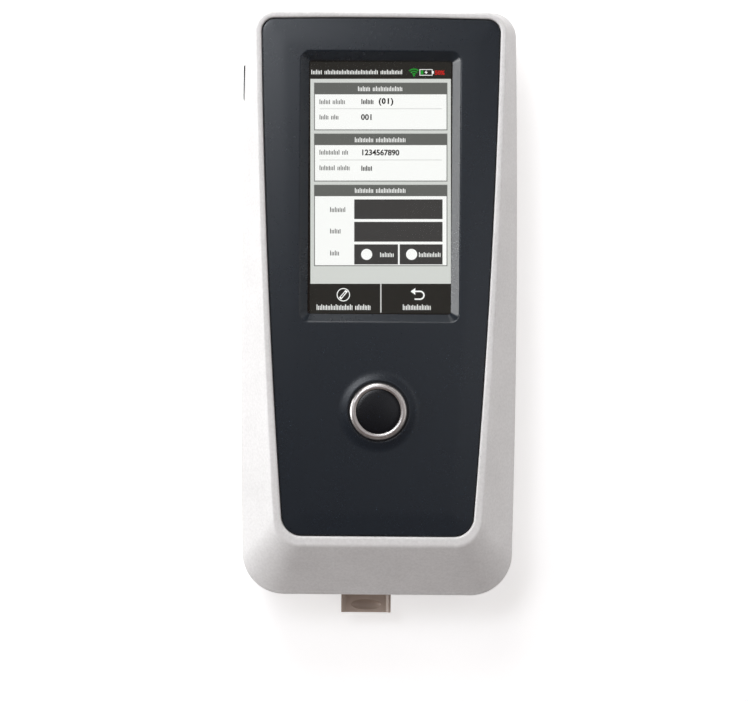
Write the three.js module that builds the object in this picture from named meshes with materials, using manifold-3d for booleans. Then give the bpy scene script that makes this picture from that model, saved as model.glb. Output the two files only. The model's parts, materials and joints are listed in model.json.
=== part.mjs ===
// A handheld rapid test reader, lying on its back: +Z comes out of the screen, +Y runs to the top of the
// screen and +X to its right, in millimetres. A white two-piece housing carries a dark front panel with a
// recessed screen and a round metal-ringed button. A cassette tray slides out of the bottom end, under a
// small camera tower, and a battery pack sits behind a screwed door in the back.
import * as THREE from "three";
import { mergeVertices } from "three/addons/utils/BufferGeometryUtils.js";
import Module from "manifold-3d";

const wasm = await Module();
wasm.setup();

// Clearances: a slip fit between parts that come apart, a bond line under parts that lie on each other, and
// one overrun by which every cut passes the face it opens.
const slip = 0.3;
const bond = 0.05;
const overrun = 2;

// Body: its widest outline, the belt, lies on the parting line between the two housings. Its width and
// length follow from the screen and the margins round it.
const beltBow = 1.35;
const beltRadiusTop = 9.6;
const beltRadiusBottom = 16;
const backDepth = 30.5;
const deckHeight = 18;
const wall = 2.4;
const backDraft = 1;
const backEdge = 7;

// Front rim: the flat white frame round the panel, set back from the belt by the sloped sides.
const rimTopInset = 2.65;
const chinRun = 20;
const sideRunTop = 4.05;
const sideRunBottom = 12.55;
const rimBow = 1.25;
const rimRadiusTop = 7.5;
const rimRadiusBottom = 10.5;
const rimEdge = 0.9;

// Front panel: a dark moulding let into the rim, resting on a ledge inside the front housing.
const rimFaceTop = 2.55;
const rimFaceBottom = 3.25;
const rimFaceUpperEnd = 1.4;
const rimFaceLowerEnd = 3.8;
const panelSideTop = 14.8;
const panelSideBottom = 5.4;
const panelBow = 1.45;
const panelCrown = 0.45;
const panelRadiusTop = 4.7;
const panelRadiusBottom = 7.5;
const panelThickness = 2.2;
const panelSink = 0.3;
const panelPostRadius = 2.2;
const ledgeWidth = 3;
const ledgeThickness = 2.3;

// Display: lit area, its sloped recess in the panel, the cover glass and the module behind it.
const screenWidth = 53.5;
const screenLength = 95.2;
const screenBorder = 0.35;
const recessRun = 3;
const recessDepth = 3;
const recessRadius = 3.6;
const recessFloorRadius = 1.2;
const recessTopMargin = 13.45;
const skirtWidth = 3;
const gasketThickness = 0.5;
const gasketWidth = 2.6;
const glassMargin = 4.9;
const glassRadius = 2;
const glassThickness = 1.1;
const displayMargin = 1.8;
const displayThickness = 1.3;
const frameWall = 1;
const frameDepth = 4.2;
const earSize = 7;
const earThickness = 1.5;
const earFromEnd = 9.4;

// Round button: a metal ring with a barrel through the panel, clamped by a nut, round a black cap.
const buttonDrop = 33.25;
const buttonToPanelEnd = 46.85;
const swellRadius = 15;
const swellTopRadius = 11.4;
const swellHeight = 0.7;
const ringRadius = 10.8;
const ringBore = 8.4;
const ringStep = 0.5;
const ringCrown = 1;
const ringLipDepth = 1.2;
const barrelRadius = 9.7;
const barrelWall = 0.8;
const barrelLength = 9;
const nutRadius = 12.4;
const nutThickness = 2.4;
const capSink = 0.35;
const capThickness = 3.2;
const capShoulder = 0.8;
const capEdge = 0.5;
const buttonTravel = 0.8;
const stemRadius = 2;
const stemEngagement = 2;
const switchSize = 12;
const switchHeight = 4.2;
const buttonBoardWidth = 38;
const buttonBoardLength = 20;
const buttonPostX = 15.9;

// Cassette tray and its finger tab, which stands out of the bottom end off the centre line.
const trayOffset = -4.2;
const trayWidth = 25;
const trayFloor = 2;
const trayHeight = 6.2;
const trayAboveBack = 10.6;
const trayRun = 0.5;
const pocketWidth = 20.4;
const pocketLength = 71;
const pocketFrontWall = 3;
const trayTail = 17;
const trayOverTravel = 1;
const tabWidth = 19.3;
const tabReach = 8.65;
const tabThickness = 3.4;
const tabRailWidth = 1.7;
const tabRailHeight = 1.3;
const dishWidth = 11.6;
const dishLength = 4;
const dishDepth = 1.3;
const dishFromTip = 3.1;

// Reader unit: a base channel that guides the tray, and a roof with the camera tower over it.
const channelWall = 2.2;
const tunnelHeadroom = 3.2;
const channelTail = 8.5;
const lugSize = 8;
const lugThickness = 2.5;
const lugFromEnd = 16;
const towerLength = 36;
const towerFromFront = 15;
const towerBelowBoard = 2.6;
const readWindowWidth = 10;
const readWindowLength = 24;
const readWindowMargin = 2;
const readWindowThickness = 1;
const lensRadius = 5;
const lensClearance = 2.55;
const lensTipRadius = 3.4;
const lensTipLength = 2;
const lensDimple = 0.8;
const ledBoardThickness = 1.2;
const ledSize = 1.8;
const ledHeight = 0.8;
const sealThickness = 1.2;
const sealWidth = 2;
const catchThickness = 0.4;
const catchLength = 18;
const catchHeight = 3.6;
const catchNoseWidth = 3;
const catchNoseHeight = 1.6;
const catchNoseReach = 0.7;
const grooveEndWall = 2;
const traySwitchWidth = 12.8;
const traySwitchDepth = 4.4;
const traySwitchHeight = 5.8;

// Battery bay, pack and door in the back.
const cellRadius = 9.2;
const packLength = 70;
const packWebWidth = 10;
const packWebHeight = 15;
const bayWall = 1.6;
const bayGap = 8;
const doorSideMargin = 4;
const doorScrewMargin = 9;
const doorThickness = 1.8;
const doorSink = 0.3;
const doorRadius = 4;
const tongueWidth = 10;
const tongueLength = 3;
const tongueThickness = 1.1;
const gripWidth = 14;
const gripLength = 6;
const gripDepth = 0.7;
const gripFromEnd = 14;

// Main board on standoffs over the battery bay, with what it carries.
const boardSideGap = 0.9;
const boardThickness = 1.6;
const boardStandoff = 2.2;
const standoffRadius = 3;
const boardScrewInset = 5;
const processorWidth = 28;
const processorLength = 22;
const processorFromLowEnd = 24;
const shieldHeight = 2.6;
const wirelessWidth = 16;
const wirelessLength = 20;
const wirelessHeight = 2.2;
const wirelessFromEdge = 3;
const wirelessFromTopEnd = 12;
const packSocketSize = 6;
const packSocketHeight = 3.4;
const leadRadius = 1.2;
const leadBend = 2.6;
const chargeWidth = 9.2;
const chargeHeight = 3.4;
const chargeLength = 9;
const chargeShell = 0.4;
const chargeTongueWidth = 6.4;
const chargeTongueThickness = 0.7;
const ribbonThickness = 0.35;
const ribbonFoot = 4;
const displayRibbonWidth = 20;
const displayRibbonRun = 9;
const buttonRibbonWidth = 8;
const buttonRibbonX = 9;
const readerRibbonWidth = 10;
const readerRibbonX = -9;

// Power key in the left wall near the top, and its switch under a tab of the main board.
const keyFromTop = 26.7;
const keyLength = 13.8;
const keyWidth = 4.2;
const keyProud = 1.25;
const keyFlange = 1.2;
const keyFlangeThickness = 1;
const keyStemSize = 3;
const keyStemLength = 3;
const keyTravel = 0.6;
const keySwitchWidth = 6.2;
const keySwitchDepth = 5;
const keyTabMargin = 4;
const keyTabLap = 0.5;

// Speaker behind a small grille in the back.
const speakerRadius = 9;
const speakerThickness = 3.6;
const speakerFromSide = 22.35;
const speakerFromBottom = 50;
const speakerRingWall = 1.2;
const speakerRingHeight = 3;
const grilleHoleRadius = 0.9;
const grilleRingRadius = 4.4;
const grilleHoles = 6;

// Screws, their bosses, and the feet.
const screwRadius = 1.4;
const screwHeadRadius = 2.7;
const screwHeadHeight = 1.8;
const bossRadius = 4.4;
const screwSeat = 6;
const screwGrip = 10;
const screwTip = 1;
const smallScrewRadius = 0.9;
const smallHeadRadius = 1.8;
const smallHeadHeight = 1.1;
const smallGrip = 3.5;
const smallTip = 0.8;
const driveRadiusShare = 0.45;
const driveDepthShare = 0.6;
const screwInset = 11;
const upperScrewFromEnd = 13.65;
const lowerScrewInset = 15;
const lowerScrewBelowRim = 0.35;
const middleScrewFromLower = 76;
const doorScrewInset = 4.5;
const footRadius = 5.5;
const footProud = 1.2;
const footPocket = 0.8;
const footEdge = 0.6;
const footGap = 1.2;
const footFromEnd = 16.65;

// Facets: how finely the round shapes are cut, and the least radius left in a corner that is set inwards.
const cornerSteps = 5;
const sideSteps = 6;
const crownSteps = 4;
const edgeSteps = 3;
const roundSteps = 32;
const plainRoundSteps = 16;
const smallRoundSteps = 12;
const nutSides = 6;
const leastRadius = 0.6;
const weldDistance = 0.0001;
const quarterTurn = Math.PI / 2;

// Levels from the floor up, from the parting line up to the rim, and from the panel down into the body.
const backZ = footProud;
const floorZ = backZ + wall;
const rootZ = floorZ - bond;
const beltZ = backZ + backDepth;
const frontZ = beltZ + slip;
const rimZ = beltZ + deckHeight;
const panelTopZ = rimZ - panelSink;
const panelUnderZ = panelTopZ - panelThickness;
const ledgeTopZ = panelUnderZ - bond;
const ledgeUnderZ = ledgeTopZ - ledgeThickness;

// Outlines of the body at the belt, of its rim and of the panel, each a tapered rectangle with bowed sides.
// The widths build up from the screen's recess, and the length from what lies on the centre line.
const windowWidth = screenWidth + 2 * screenBorder;
const windowLength = screenLength + 2 * screenBorder;
const recessWidth = windowWidth + 2 * recessRun;
const recessLength = windowLength + 2 * recessRun;
const panelWidthTop = recessWidth + 2 * panelSideTop;
const panelWidthBottom = recessWidth + 2 * panelSideBottom;
const rimWidthTop = panelWidthTop + 2 * rimFaceTop;
const rimWidthBottom = panelWidthBottom + 2 * rimFaceBottom;
const beltWidthTop = rimWidthTop + 2 * sideRunTop;
const beltWidthBottom = rimWidthBottom + 2 * sideRunBottom;
const upperLength = rimTopInset + rimFaceUpperEnd + recessTopMargin + recessLength;
const lowerLength = buttonDrop + buttonToPanelEnd + rimFaceLowerEnd + chinRun;
const bodyLength = upperLength + lowerLength;
const top = bodyLength / 2;
const bottom = -bodyLength / 2;
const belt = {
  widthTop: beltWidthTop,
  widthBottom: beltWidthBottom,
  top,
  bottom,
  radiusTop: beltRadiusTop,
  radiusBottom: beltRadiusBottom,
  bow: beltBow,
  crown: 0,
};
const rim = {
  widthTop: rimWidthTop,
  widthBottom: rimWidthBottom,
  top: top - rimTopInset,
  bottom: bottom + chinRun,
  radiusTop: rimRadiusTop,
  radiusBottom: rimRadiusBottom,
  bow: rimBow,
  crown: 0,
};
const panel = {
  widthTop: panelWidthTop,
  widthBottom: panelWidthBottom,
  top: rim.top - rimFaceUpperEnd - panelCrown,
  bottom: rim.bottom + rimFaceLowerEnd,
  radiusTop: panelRadiusTop,
  radiusBottom: panelRadiusBottom,
  bow: panelBow,
  crown: panelCrown,
};

// Display stack, from the recess floor down.
const screenY = panel.top + panelCrown - recessTopMargin - recessLength / 2;
const recessFloorZ = panelTopZ - recessDepth;
const glassWidth = screenWidth + 2 * glassMargin;
const glassLength = screenLength + 2 * glassMargin;
const gasketTopZ = recessFloorZ - bond;
const gasketUnderZ = gasketTopZ - gasketThickness;
const glassTopZ = gasketUnderZ - bond;
const glassUnderZ = glassTopZ - glassThickness;
const displayTopZ = glassUnderZ - bond;
const displayUnderZ = displayTopZ - displayThickness;
const frameUnderZ = displayTopZ - frameDepth;
const displayWidth = screenWidth + 2 * displayMargin;
const displayLength = screenLength + 2 * displayMargin;
const frameWidth = displayWidth + 2 * (slip + frameWall);
const frameLength = displayLength + 2 * (slip + frameWall);
const earTopZ = frameUnderZ + earThickness;
const earPostX = glassWidth / 2 + slip + panelPostRadius;
const earYs = [displayLength / 2 - earFromEnd, earFromEnd - displayLength / 2];
const earSpots = earYs.flatMap((y) => bothSides([earPostX, y]));

// Button stack, from the top of the swell down.
const buttonY = panel.bottom + buttonToPanelEnd;
const swellTopZ = panelTopZ + swellHeight;
const ringSeatZ = swellTopZ + bond;
const capTopZ = ringSeatZ + ringStep + ringCrown - capSink;
const capUnderZ = capTopZ - capThickness;
const lipUnderZ = ringSeatZ - ringLipDepth;
const barrelBore = barrelRadius - barrelWall;
const barrelUnderZ = ringSeatZ - barrelLength;
const buttonBoardTopZ = barrelUnderZ - slip;
const buttonBoardZ = buttonBoardTopZ - boardThickness;
const switchTopZ = buttonBoardTopZ + bond + switchHeight;
const stemUnderZ = switchTopZ - stemEngagement;
const buttonPostSpots = bothSides([buttonPostX, 0]);

// Tray and reader unit, from the back up.
const trayZ = backZ + trayAboveBack;
const trayTopZ = trayZ + trayHeight;
const pocketZ = trayZ + trayFloor;
const trayFrontY = bottom + backDraft + slip;
const trayTipY = bottom - tabReach;
const pocketFrontY = trayFrontY + pocketFrontWall;
const pocketRearY = pocketFrontY + pocketLength;
const trayTravel = pocketLength + trayOverTravel;
const trayRearY = pocketRearY + trayTail;
const sealFrontY = bottom + backDraft + wall + slip;
const channelFrontY = sealFrontY + sealThickness + slip;
const channelRearY = trayRearY + channelTail;
const channelWidth = trayWidth + 2 * (trayRun + channelWall);
const channelFloorZ = trayZ - trayRun;
const channelUnderZ = channelFloorZ - channelWall;
const channelTopZ = trayTopZ + tunnelHeadroom;
const roofZ = channelTopZ + bond;
const roofTopZ = roofZ + channelWall;
const towerTopZ = buttonBoardZ - towerBelowBoard - boardThickness;
const towerFrontY = channelFrontY + towerFromFront;
const towerRearY = towerFrontY + towerLength;
const towerY = (towerFrontY + towerRearY) / 2;
const cameraBoardZ = towerTopZ + bond;
const readWindowTopZ = roofTopZ + bond + readWindowThickness;
const grooveZ = trayZ + trayHeight / 2;
const grooveHalfLength = catchNoseWidth / 2 + slip;
const catchY = trayRearY - grooveEndWall - trayTravel - grooveHalfLength;
const lugX = channelWidth / 2 + lugSize / 2;
const lugSpots = [
  [-lugX, channelRearY - lugFromEnd],
  [lugX, channelFrontY + lugFromEnd],
];
const lugPostSpots = lugSpots.map(([x, y]) => [x + trayOffset, y]);

// Case screws, at three heights of the body on both sides.
const upperScrewY = top - upperScrewFromEnd;
const lowerScrewY = rim.bottom - lowerScrewBelowRim;
const middleScrewY = lowerScrewY + middleScrewFromLower;
const caseScrewSpots = [
  [halfWidthAt(belt, upperScrewY) - screwInset, upperScrewY],
  [halfWidthAt(belt, middleScrewY) - screwInset, middleScrewY],
  [halfWidthAt(belt, lowerScrewY) - lowerScrewInset, lowerScrewY],
].flatMap(bothSides);
const caseSeatZ = beltZ - screwSeat;

// Battery bay, from the reader unit up the body, and the door that closes it.
const doorLowY = channelRearY + bayGap;
const bayLowY = doorLowY + doorScrewMargin;
const bayWidth = 4 * cellRadius + 2 * slip;
const bayLength = packLength + 2 * slip;
const bayHighY = bayLowY + bayLength;
const bayY = (bayLowY + bayHighY) / 2;
const doorHighY = bayHighY + doorSideMargin;
const doorWidth = bayWidth + 2 * doorSideMargin;
const doorShape = rectangle(doorWidth, doorHighY - doorLowY, doorRadius, (doorLowY + doorHighY) / 2);
const doorUnderZ = backZ + doorSink;
const doorTopZ = doorUnderZ + doorThickness;
const padTopZ = doorTopZ + bond + bayWall;
const packZ = doorTopZ + slip + cellRadius;
const bayTopZ = packZ + cellRadius + slip;
const doorScrewSpots = bothSides([doorWidth / 2 - doorScrewInset, doorLowY + doorScrewInset]);

// Main board, over the bay and up to the top end wall.
const boardZ = bayTopZ + bayWall + boardStandoff + bond;
const boardTopZ = boardZ + boardThickness;
const underBoardZ = boardZ - bond;
const onBoardZ = boardTopZ + bond;
const packSocketY = bayLowY - bayWall - slip - packSocketSize / 2;
const boardLowY = packSocketY - packSocketSize;
const boardHighY = top - backDraft - wall - slip;
const mainBoardWidth = 2 * (halfWidthAt(belt, upperScrewY) - screwInset - bossRadius - boardSideGap);
const boardScrewX = mainBoardWidth / 2 - boardScrewInset;
const boardScrewYs = [boardLowY + boardScrewInset, boardHighY - boardScrewInset];
const boardScrewSpots = boardScrewYs.flatMap((y) => bothSides([boardScrewX, y]));
const chargeZ = underBoardZ - chargeHeight / 2;
const chargeEndY = top - backDraft;

// Power key, at the level of its switch, from the wall's outer face inwards.
const keyY = top - keyFromTop;
const keyZ = underBoardZ - switchHeight / 2;
const keyDraft = (backDraft * (beltZ - keyZ)) / (backDepth - backEdge);
const keyWallX = halfWidthAt(belt, keyY) - keyDraft;
const keyFlangeX = wall + 2 * slip;
const keyStemX = keyFlangeX + keyFlangeThickness;
const keySwitchX = keyStemX + keyStemLength + keyTravel + slip;

// Places of the feet and speaker.
const upperFootX = doorWidth / 2 + slip + footRadius + footGap;
const lowerHeadX = halfWidthAt(belt, lowerScrewY) - lowerScrewInset - screwHeadRadius - slip;
const lowerFootX = lowerHeadX - footRadius - footGap;
const footSpots = [
  ...bothSides([upperFootX, top - footFromEnd]),
  ...bothSides([lowerFootX, bottom + footFromEnd]),
];
const speakerY = bottom + speakerFromBottom;
const speakerSpot = [halfWidthAt(belt, speakerY) - speakerFromSide, speakerY];
const speakerWellRadius = speakerRadius + slip;
const pilotRadius = screwRadius + slip;
const smallPilotRadius = smallScrewRadius + slip;

// Materials.
const finish = (color, roughness, metalness = 0) =>
  new THREE.MeshStandardMaterial({ color, roughness, metalness });
const whitePlastic = finish(0xe4e4e2, 0.55);
const darkPlastic = finish(0x34373d, 0.45);
const blackPlastic = finish(0x1b1c1f, 0.5);
const trayPlastic = finish(0xcfc7c0, 0.5);
const keyPlastic = finish(0x2b2d31, 0.5);
const polishedMetal = finish(0xc9cacc, 0.2, 1);
const screwMetal = finish(0x8d9094, 0.35, 1);
const shieldMetal = finish(0xb4b7ba, 0.4, 1);
const springMetal = finish(0xa8abae, 0.3, 1);
const screenGlass = finish(0x101214, 0.1);
const clearGlass = finish(0xdfe6e6, 0.08);
const displayLight = finish(0xd8dad6, 0.4);
const boardLaminate = finish(0x1f5a3a, 0.6);
const ribbonFilm = finish(0xb8792c, 0.5);
const foam = finish(0x202123, 0.95);
const rubber = finish(0x2a2b2d, 0.9);
const batteryWrap = finish(0x2c5f93, 0.4);
const leadSheath = finish(0xb02a25, 0.6);

// Half the width of an outline at a height y: straight taper plus a bow that is fullest half way up.
function halfWidthAt(shape, y) {
  const share = (y - shape.bottom) / (shape.top - shape.bottom);
  const taper = THREE.MathUtils.lerp(shape.widthBottom, shape.widthTop, share) / 2;
  return taper + shape.bow * (1 - (2 * share - 1) ** 2);
}

// A place and its mirror image in the centre plane.
function bothSides([x, y]) {
  return [
    [x, y],
    [-x, y],
  ];
}

// The outline of a plain rectangle with rounded corners, centred on x = 0.
function rectangle(width, length, radius, y = 0) {
  return {
    widthTop: width,
    widthBottom: width,
    top: y + length / 2,
    bottom: y - length / 2,
    radiusTop: radius,
    radiusBottom: radius,
    bow: 0,
    crown: 0,
  };
}

// The outline of a bar with round ends, which keep a short flat at their middle.
function roundEnded(width, length, y = 0) {
  return rectangle(width, length, Math.min(width, length) / 2 - bond, y);
}

// The outline between two others, at a share of the way from the first to the second.
function between(first, second, share) {
  const mixed = {};
  for (const key of Object.keys(first)) mixed[key] = THREE.MathUtils.lerp(first[key], second[key], share);
  return mixed;
}

// An outline's points, anticlockwise from its lower right corner, set inwards by inset.
function outline(shape, inset = 0) {
  const radiusTop = Math.max(shape.radiusTop - inset, leastRadius);
  const radiusBottom = Math.max(shape.radiusBottom - inset, leastRadius);
  const lowY = shape.bottom + inset + radiusBottom;
  const highY = shape.top - inset - radiusTop;
  const sideX = (y) => halfWidthAt(shape, y) - inset;
  const crownAt = (x) => shape.crown * (1 - ((2 * x) / shape.widthTop) ** 2);
  const lowX = sideX(lowY) - radiusBottom;
  const highX = sideX(highY) - radiusTop;
  const points = [];
  const corner = (x, y, radius, start) => {
    for (let step = 0; step <= cornerSteps; step += 1) {
      const angle = start + (step / cornerSteps) * quarterTurn;
      points.push(new THREE.Vector2(x + radius * Math.cos(angle), y + radius * Math.sin(angle)));
    }
  };
  const side = (fromY, toY, sign) => {
    for (let step = 1; step < sideSteps; step += 1) {
      const y = THREE.MathUtils.lerp(fromY, toY, step / sideSteps);
      points.push(new THREE.Vector2(sign * sideX(y), y));
    }
  };
  corner(lowX, lowY, radiusBottom, -quarterTurn);
  side(lowY, highY, 1);
  corner(highX, highY + crownAt(highX), radiusTop, 0);
  for (let step = 1; step < crownSteps; step += 1) {
    const x = THREE.MathUtils.lerp(highX, -highX, step / crownSteps);
    points.push(new THREE.Vector2(x, shape.top - inset + crownAt(x)));
  }
  corner(-highX, highY + crownAt(highX), radiusTop, quarterTurn);
  side(highY, lowY, -1);
  corner(-lowX, lowY, radiusBottom, 2 * quarterTurn);
  return points;
}

// A skin through a stack of outlines, either capped at both ends or closed into a tube.
function loft(rings, isTube = false) {
  const count = rings[0].points.length;
  const positions = rings.flatMap(({ points, z }) => points.flatMap((point) => [point.x, point.y, z]));
  const faces = [];
  const spans = isTube ? rings.length : rings.length - 1;
  for (let span = 0; span < spans; span += 1) {
    const low = span * count;
    const high = ((span + 1) % rings.length) * count;
    for (let here = 0; here < count; here += 1) {
      const next = (here + 1) % count;
      faces.push(low + here, low + next, high + next);
      faces.push(low + here, high + next, high + here);
    }
  }
  const cap = (ring, isUpper) => {
    const { points, z } = rings[ring];
    const centre = points.reduce((sum, point) => sum.add(point), new THREE.Vector2()).divideScalar(count);
    const hub = positions.length / 3;
    positions.push(centre.x, centre.y, z);
    for (let here = 0; here < count; here += 1) {
      const pair = [ring * count + here, ring * count + ((here + 1) % count)];
      faces.push(hub, ...(isUpper ? pair : pair.reverse()));
    }
  };
  if (!isTube) {
    cap(0, false);
    cap(rings.length - 1, true);
  }
  const geometry = new THREE.BufferGeometry();
  geometry.setAttribute("position", new THREE.Float32BufferAttribute(positions, 3));
  geometry.setIndex(faces);
  return geometry;
}

// A flat plate of one outline between two levels.
function plate(shape, [lowZ, highZ], inset = 0) {
  const points = outline(shape, inset);
  return loft([
    { points, z: lowZ },
    { points, z: highZ },
  ]);
}

// A range centred on a place, and a box between two corners.
function about(middle, size) {
  return [middle - size / 2, middle + size / 2];
}

function box([lowX, highX], [lowY, highY], [lowZ, highZ]) {
  const geometry = new THREE.BoxGeometry(highX - lowX, highY - lowY, highZ - lowZ);
  return geometry.translate((lowX + highX) / 2, (lowY + highY) / 2, (lowZ + highZ) / 2);
}

// An upright round post between two levels, or a cone where its top radius differs.
function post([x, y], [lowZ, highZ], radius, steps = smallRoundSteps, topRadius = radius) {
  const geometry = new THREE.CylinderGeometry(topRadius, radius, highZ - lowZ, steps);
  return geometry.rotateX(quarterTurn).translate(x, y, (lowZ + highZ) / 2);
}

function posts(spots, levels, radius) {
  return spots.map((spot) => post(spot, levels, radius));
}

// A round piece about a vertical axis, from its radii and levels.
function turned(profile, steps = roundSteps) {
  const points = profile.map(([radius, z]) => new THREE.Vector2(radius, z));
  return new THREE.LatheGeometry(points, steps).rotateX(quarterTurn);
}

// A closed geometry as a solid, and a solid back as a geometry.
function solidOf(geometry) {
  const bare = geometry.clone();
  bare.deleteAttribute("normal");
  bare.deleteAttribute("uv");
  const welded = mergeVertices(bare, weldDistance);
  const vertProperties = new Float32Array(welded.attributes.position.array);
  const triVerts = new Uint32Array(welded.index.array);
  return new wasm.Manifold(new wasm.Mesh({ numProp: 3, vertProperties, triVerts }));
}

function geometryOf(solid) {
  const { vertProperties, triVerts } = solid.getMesh();
  const geometry = new THREE.BufferGeometry();
  geometry.setAttribute("position", new THREE.BufferAttribute(new Float32Array(vertProperties), 3));
  geometry.setIndex(new THREE.BufferAttribute(new Uint32Array(triVerts), 1));
  geometry.computeVertexNormals();
  return geometry;
}

function join(...pieces) {
  return geometryOf(pieces.map(solidOf).reduce((whole, piece) => whole.add(piece)));
}

function cut(base, ...tools) {
  return geometryOf(tools.map(solidOf).reduce((whole, tool) => whole.subtract(tool), solidOf(base)));
}

function trim(base, limit) {
  return geometryOf(solidOf(base).intersect(solidOf(limit)));
}

// Front housing: a tapered white shell with a rounded rim, an inner ledge for the panel and screw bosses.
function frontSkin() {
  const rings = [{ points: outline(belt), z: frontZ }];
  for (let step = 0; step <= edgeSteps; step += 1) {
    const angle = (step / edgeSteps) * quarterTurn;
    const z = rimZ - rimEdge * (1 - Math.sin(angle));
    rings.push({ points: outline(rim, rimEdge * (1 - Math.cos(angle))), z });
  }
  return rings;
}

function frontHousing() {
  const atLedge = between(belt, rim, (ledgeUnderZ - beltZ) / deckHeight);
  const shell = loft(
    [
      ...frontSkin(),
      { points: outline(panel, -slip), z: rimZ },
      { points: outline(panel, -slip), z: ledgeTopZ },
      { points: outline(panel, ledgeWidth), z: ledgeTopZ },
      { points: outline(panel, ledgeWidth), z: ledgeUnderZ },
      { points: outline(atLedge, wall), z: ledgeUnderZ },
      { points: outline(belt, wall), z: frontZ },
    ],
    true,
  );
  const bosses = posts(caseScrewSpots, [frontZ, ledgeTopZ], bossRadius);
  const pilots = posts(caseScrewSpots, [frontZ - overrun, frontZ + screwGrip + screwTip], pilotRadius);
  return cut(trim(join(shell, ...bosses), loft(frontSkin())), ...pilots);
}

// Back housing: a drafted tub with a rounded back edge, the battery bay, bosses, standoffs and openings.
function backSkin() {
  const rings = [];
  for (let step = 0; step <= edgeSteps; step += 1) {
    const angle = (1 - step / edgeSteps) * quarterTurn;
    const inset = backDraft + backEdge * (1 - Math.cos(angle));
    rings.push({ points: outline(belt, inset), z: backZ + backEdge * (1 - Math.sin(angle)) });
  }
  rings.push({ points: outline(belt), z: beltZ });
  return rings;
}

function backCavity() {
  const radius = backEdge - wall;
  const rings = [
    { points: outline(belt, wall), z: beltZ },
    { points: outline(belt, backDraft + wall), z: backZ + backEdge },
  ];
  for (let step = 1; step <= edgeSteps; step += 1) {
    const angle = (step / edgeSteps) * quarterTurn;
    const inset = backDraft + backEdge - radius * Math.cos(angle);
    rings.push({ points: outline(belt, inset), z: backZ + backEdge - radius * Math.sin(angle) });
  }
  return rings;
}

function backStructure() {
  const tonguePadY = [doorHighY, doorHighY + tongueLength + wall];
  return [
    box(about(0, bayWidth + 2 * bayWall), about(bayY, bayLength + 2 * bayWall), [rootZ, bayTopZ + bayWall]),
    plate(doorShape, [rootZ, padTopZ], -wall),
    box(about(0, tongueWidth + 2 * wall), tonguePadY, [rootZ, padTopZ]),
    ...posts(caseScrewSpots, [rootZ, beltZ], bossRadius),
    ...posts(boardScrewSpots, [rootZ, underBoardZ], standoffRadius),
    ...posts(lugPostSpots, [rootZ, channelUnderZ - bond], standoffRadius),
    ...posts(doorScrewSpots, [rootZ, padTopZ + smallGrip], standoffRadius),
    post(speakerSpot, [rootZ, floorZ + speakerRingHeight], speakerWellRadius + speakerRingWall, roundSteps),
  ];
}

function screwOpenings() {
  const pilotDepth = smallGrip + smallTip;
  return [
    ...posts(caseScrewSpots, [backZ - overrun, caseSeatZ], screwHeadRadius + slip),
    ...posts(caseScrewSpots, [caseSeatZ - overrun, beltZ + overrun], pilotRadius),
    ...posts(boardScrewSpots, [boardZ - pilotDepth, boardZ + overrun], smallPilotRadius),
    ...posts(lugPostSpots, [channelUnderZ - pilotDepth, channelUnderZ + overrun], smallPilotRadius),
    ...posts(doorScrewSpots, [backZ - overrun, padTopZ + smallGrip - smallTip], smallPilotRadius),
  ];
}

function wallOpenings() {
  const trayWallY = [bottom - overrun, bottom + backDraft + wall + overrun];
  const chargeSlot = roundEnded(chargeWidth + 2 * slip, chargeHeight + 2 * slip);
  const chargeHole = plate(chargeSlot, [-overrun, backDraft + wall + overrun]).rotateX(quarterTurn);
  const keyWall = [-keyWallX - overrun, -keyWallX + wall + overrun];
  return [
    box(about(trayOffset, trayWidth + 2 * slip), trayWallY, [trayZ - slip, trayTopZ + slip]),
    chargeHole.translate(0, top, chargeZ),
    box(keyWall, about(keyY, keyLength + 2 * slip), about(keyZ, keyWidth + 2 * slip)),
  ];
}

function backHousing() {
  const tub = loft([...backSkin(), ...backCavity()]);
  const tongueY = [doorHighY - overrun, doorHighY + tongueLength + slip];
  const tongueZ = [doorTopZ - tongueThickness - slip, doorTopZ + bond];
  const speakerWellZ = [floorZ, floorZ + speakerRingHeight + overrun];
  const leadHole = about(0, 2 * (leadRadius + slip));
  const openings = [
    box(about(0, bayWidth), [bayLowY, bayHighY], [backZ - overrun, bayTopZ]),
    plate(doorShape, [backZ - overrun, doorTopZ + bond], -slip),
    box(about(0, tongueWidth + 2 * slip), tongueY, tongueZ),
    box(leadHole, [bayLowY - bayWall - overrun, bayLowY + overrun], about(packZ, 2 * (leadRadius + slip))),
    ...posts(footSpots, [backZ - overrun, backZ + footPocket], footRadius + slip),
    post(speakerSpot, speakerWellZ, speakerWellRadius, roundSteps),
    ...posts(grilleSpots(), [backZ - overrun, floorZ + overrun], grilleHoleRadius),
  ];
  const whole = trim(join(tub, ...backStructure()), loft(backSkin()));
  return cut(whole, ...openings, ...screwOpenings(), ...wallOpenings());
}

function grilleSpots() {
  const [x, y] = speakerSpot;
  const spots = [speakerSpot];
  for (let hole = 0; hole < grilleHoles; hole += 1) {
    const angle = (hole / grilleHoles) * 4 * quarterTurn;
    spots.push([x + grilleRingRadius * Math.cos(angle), y + grilleRingRadius * Math.sin(angle)]);
  }
  return spots;
}

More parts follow.
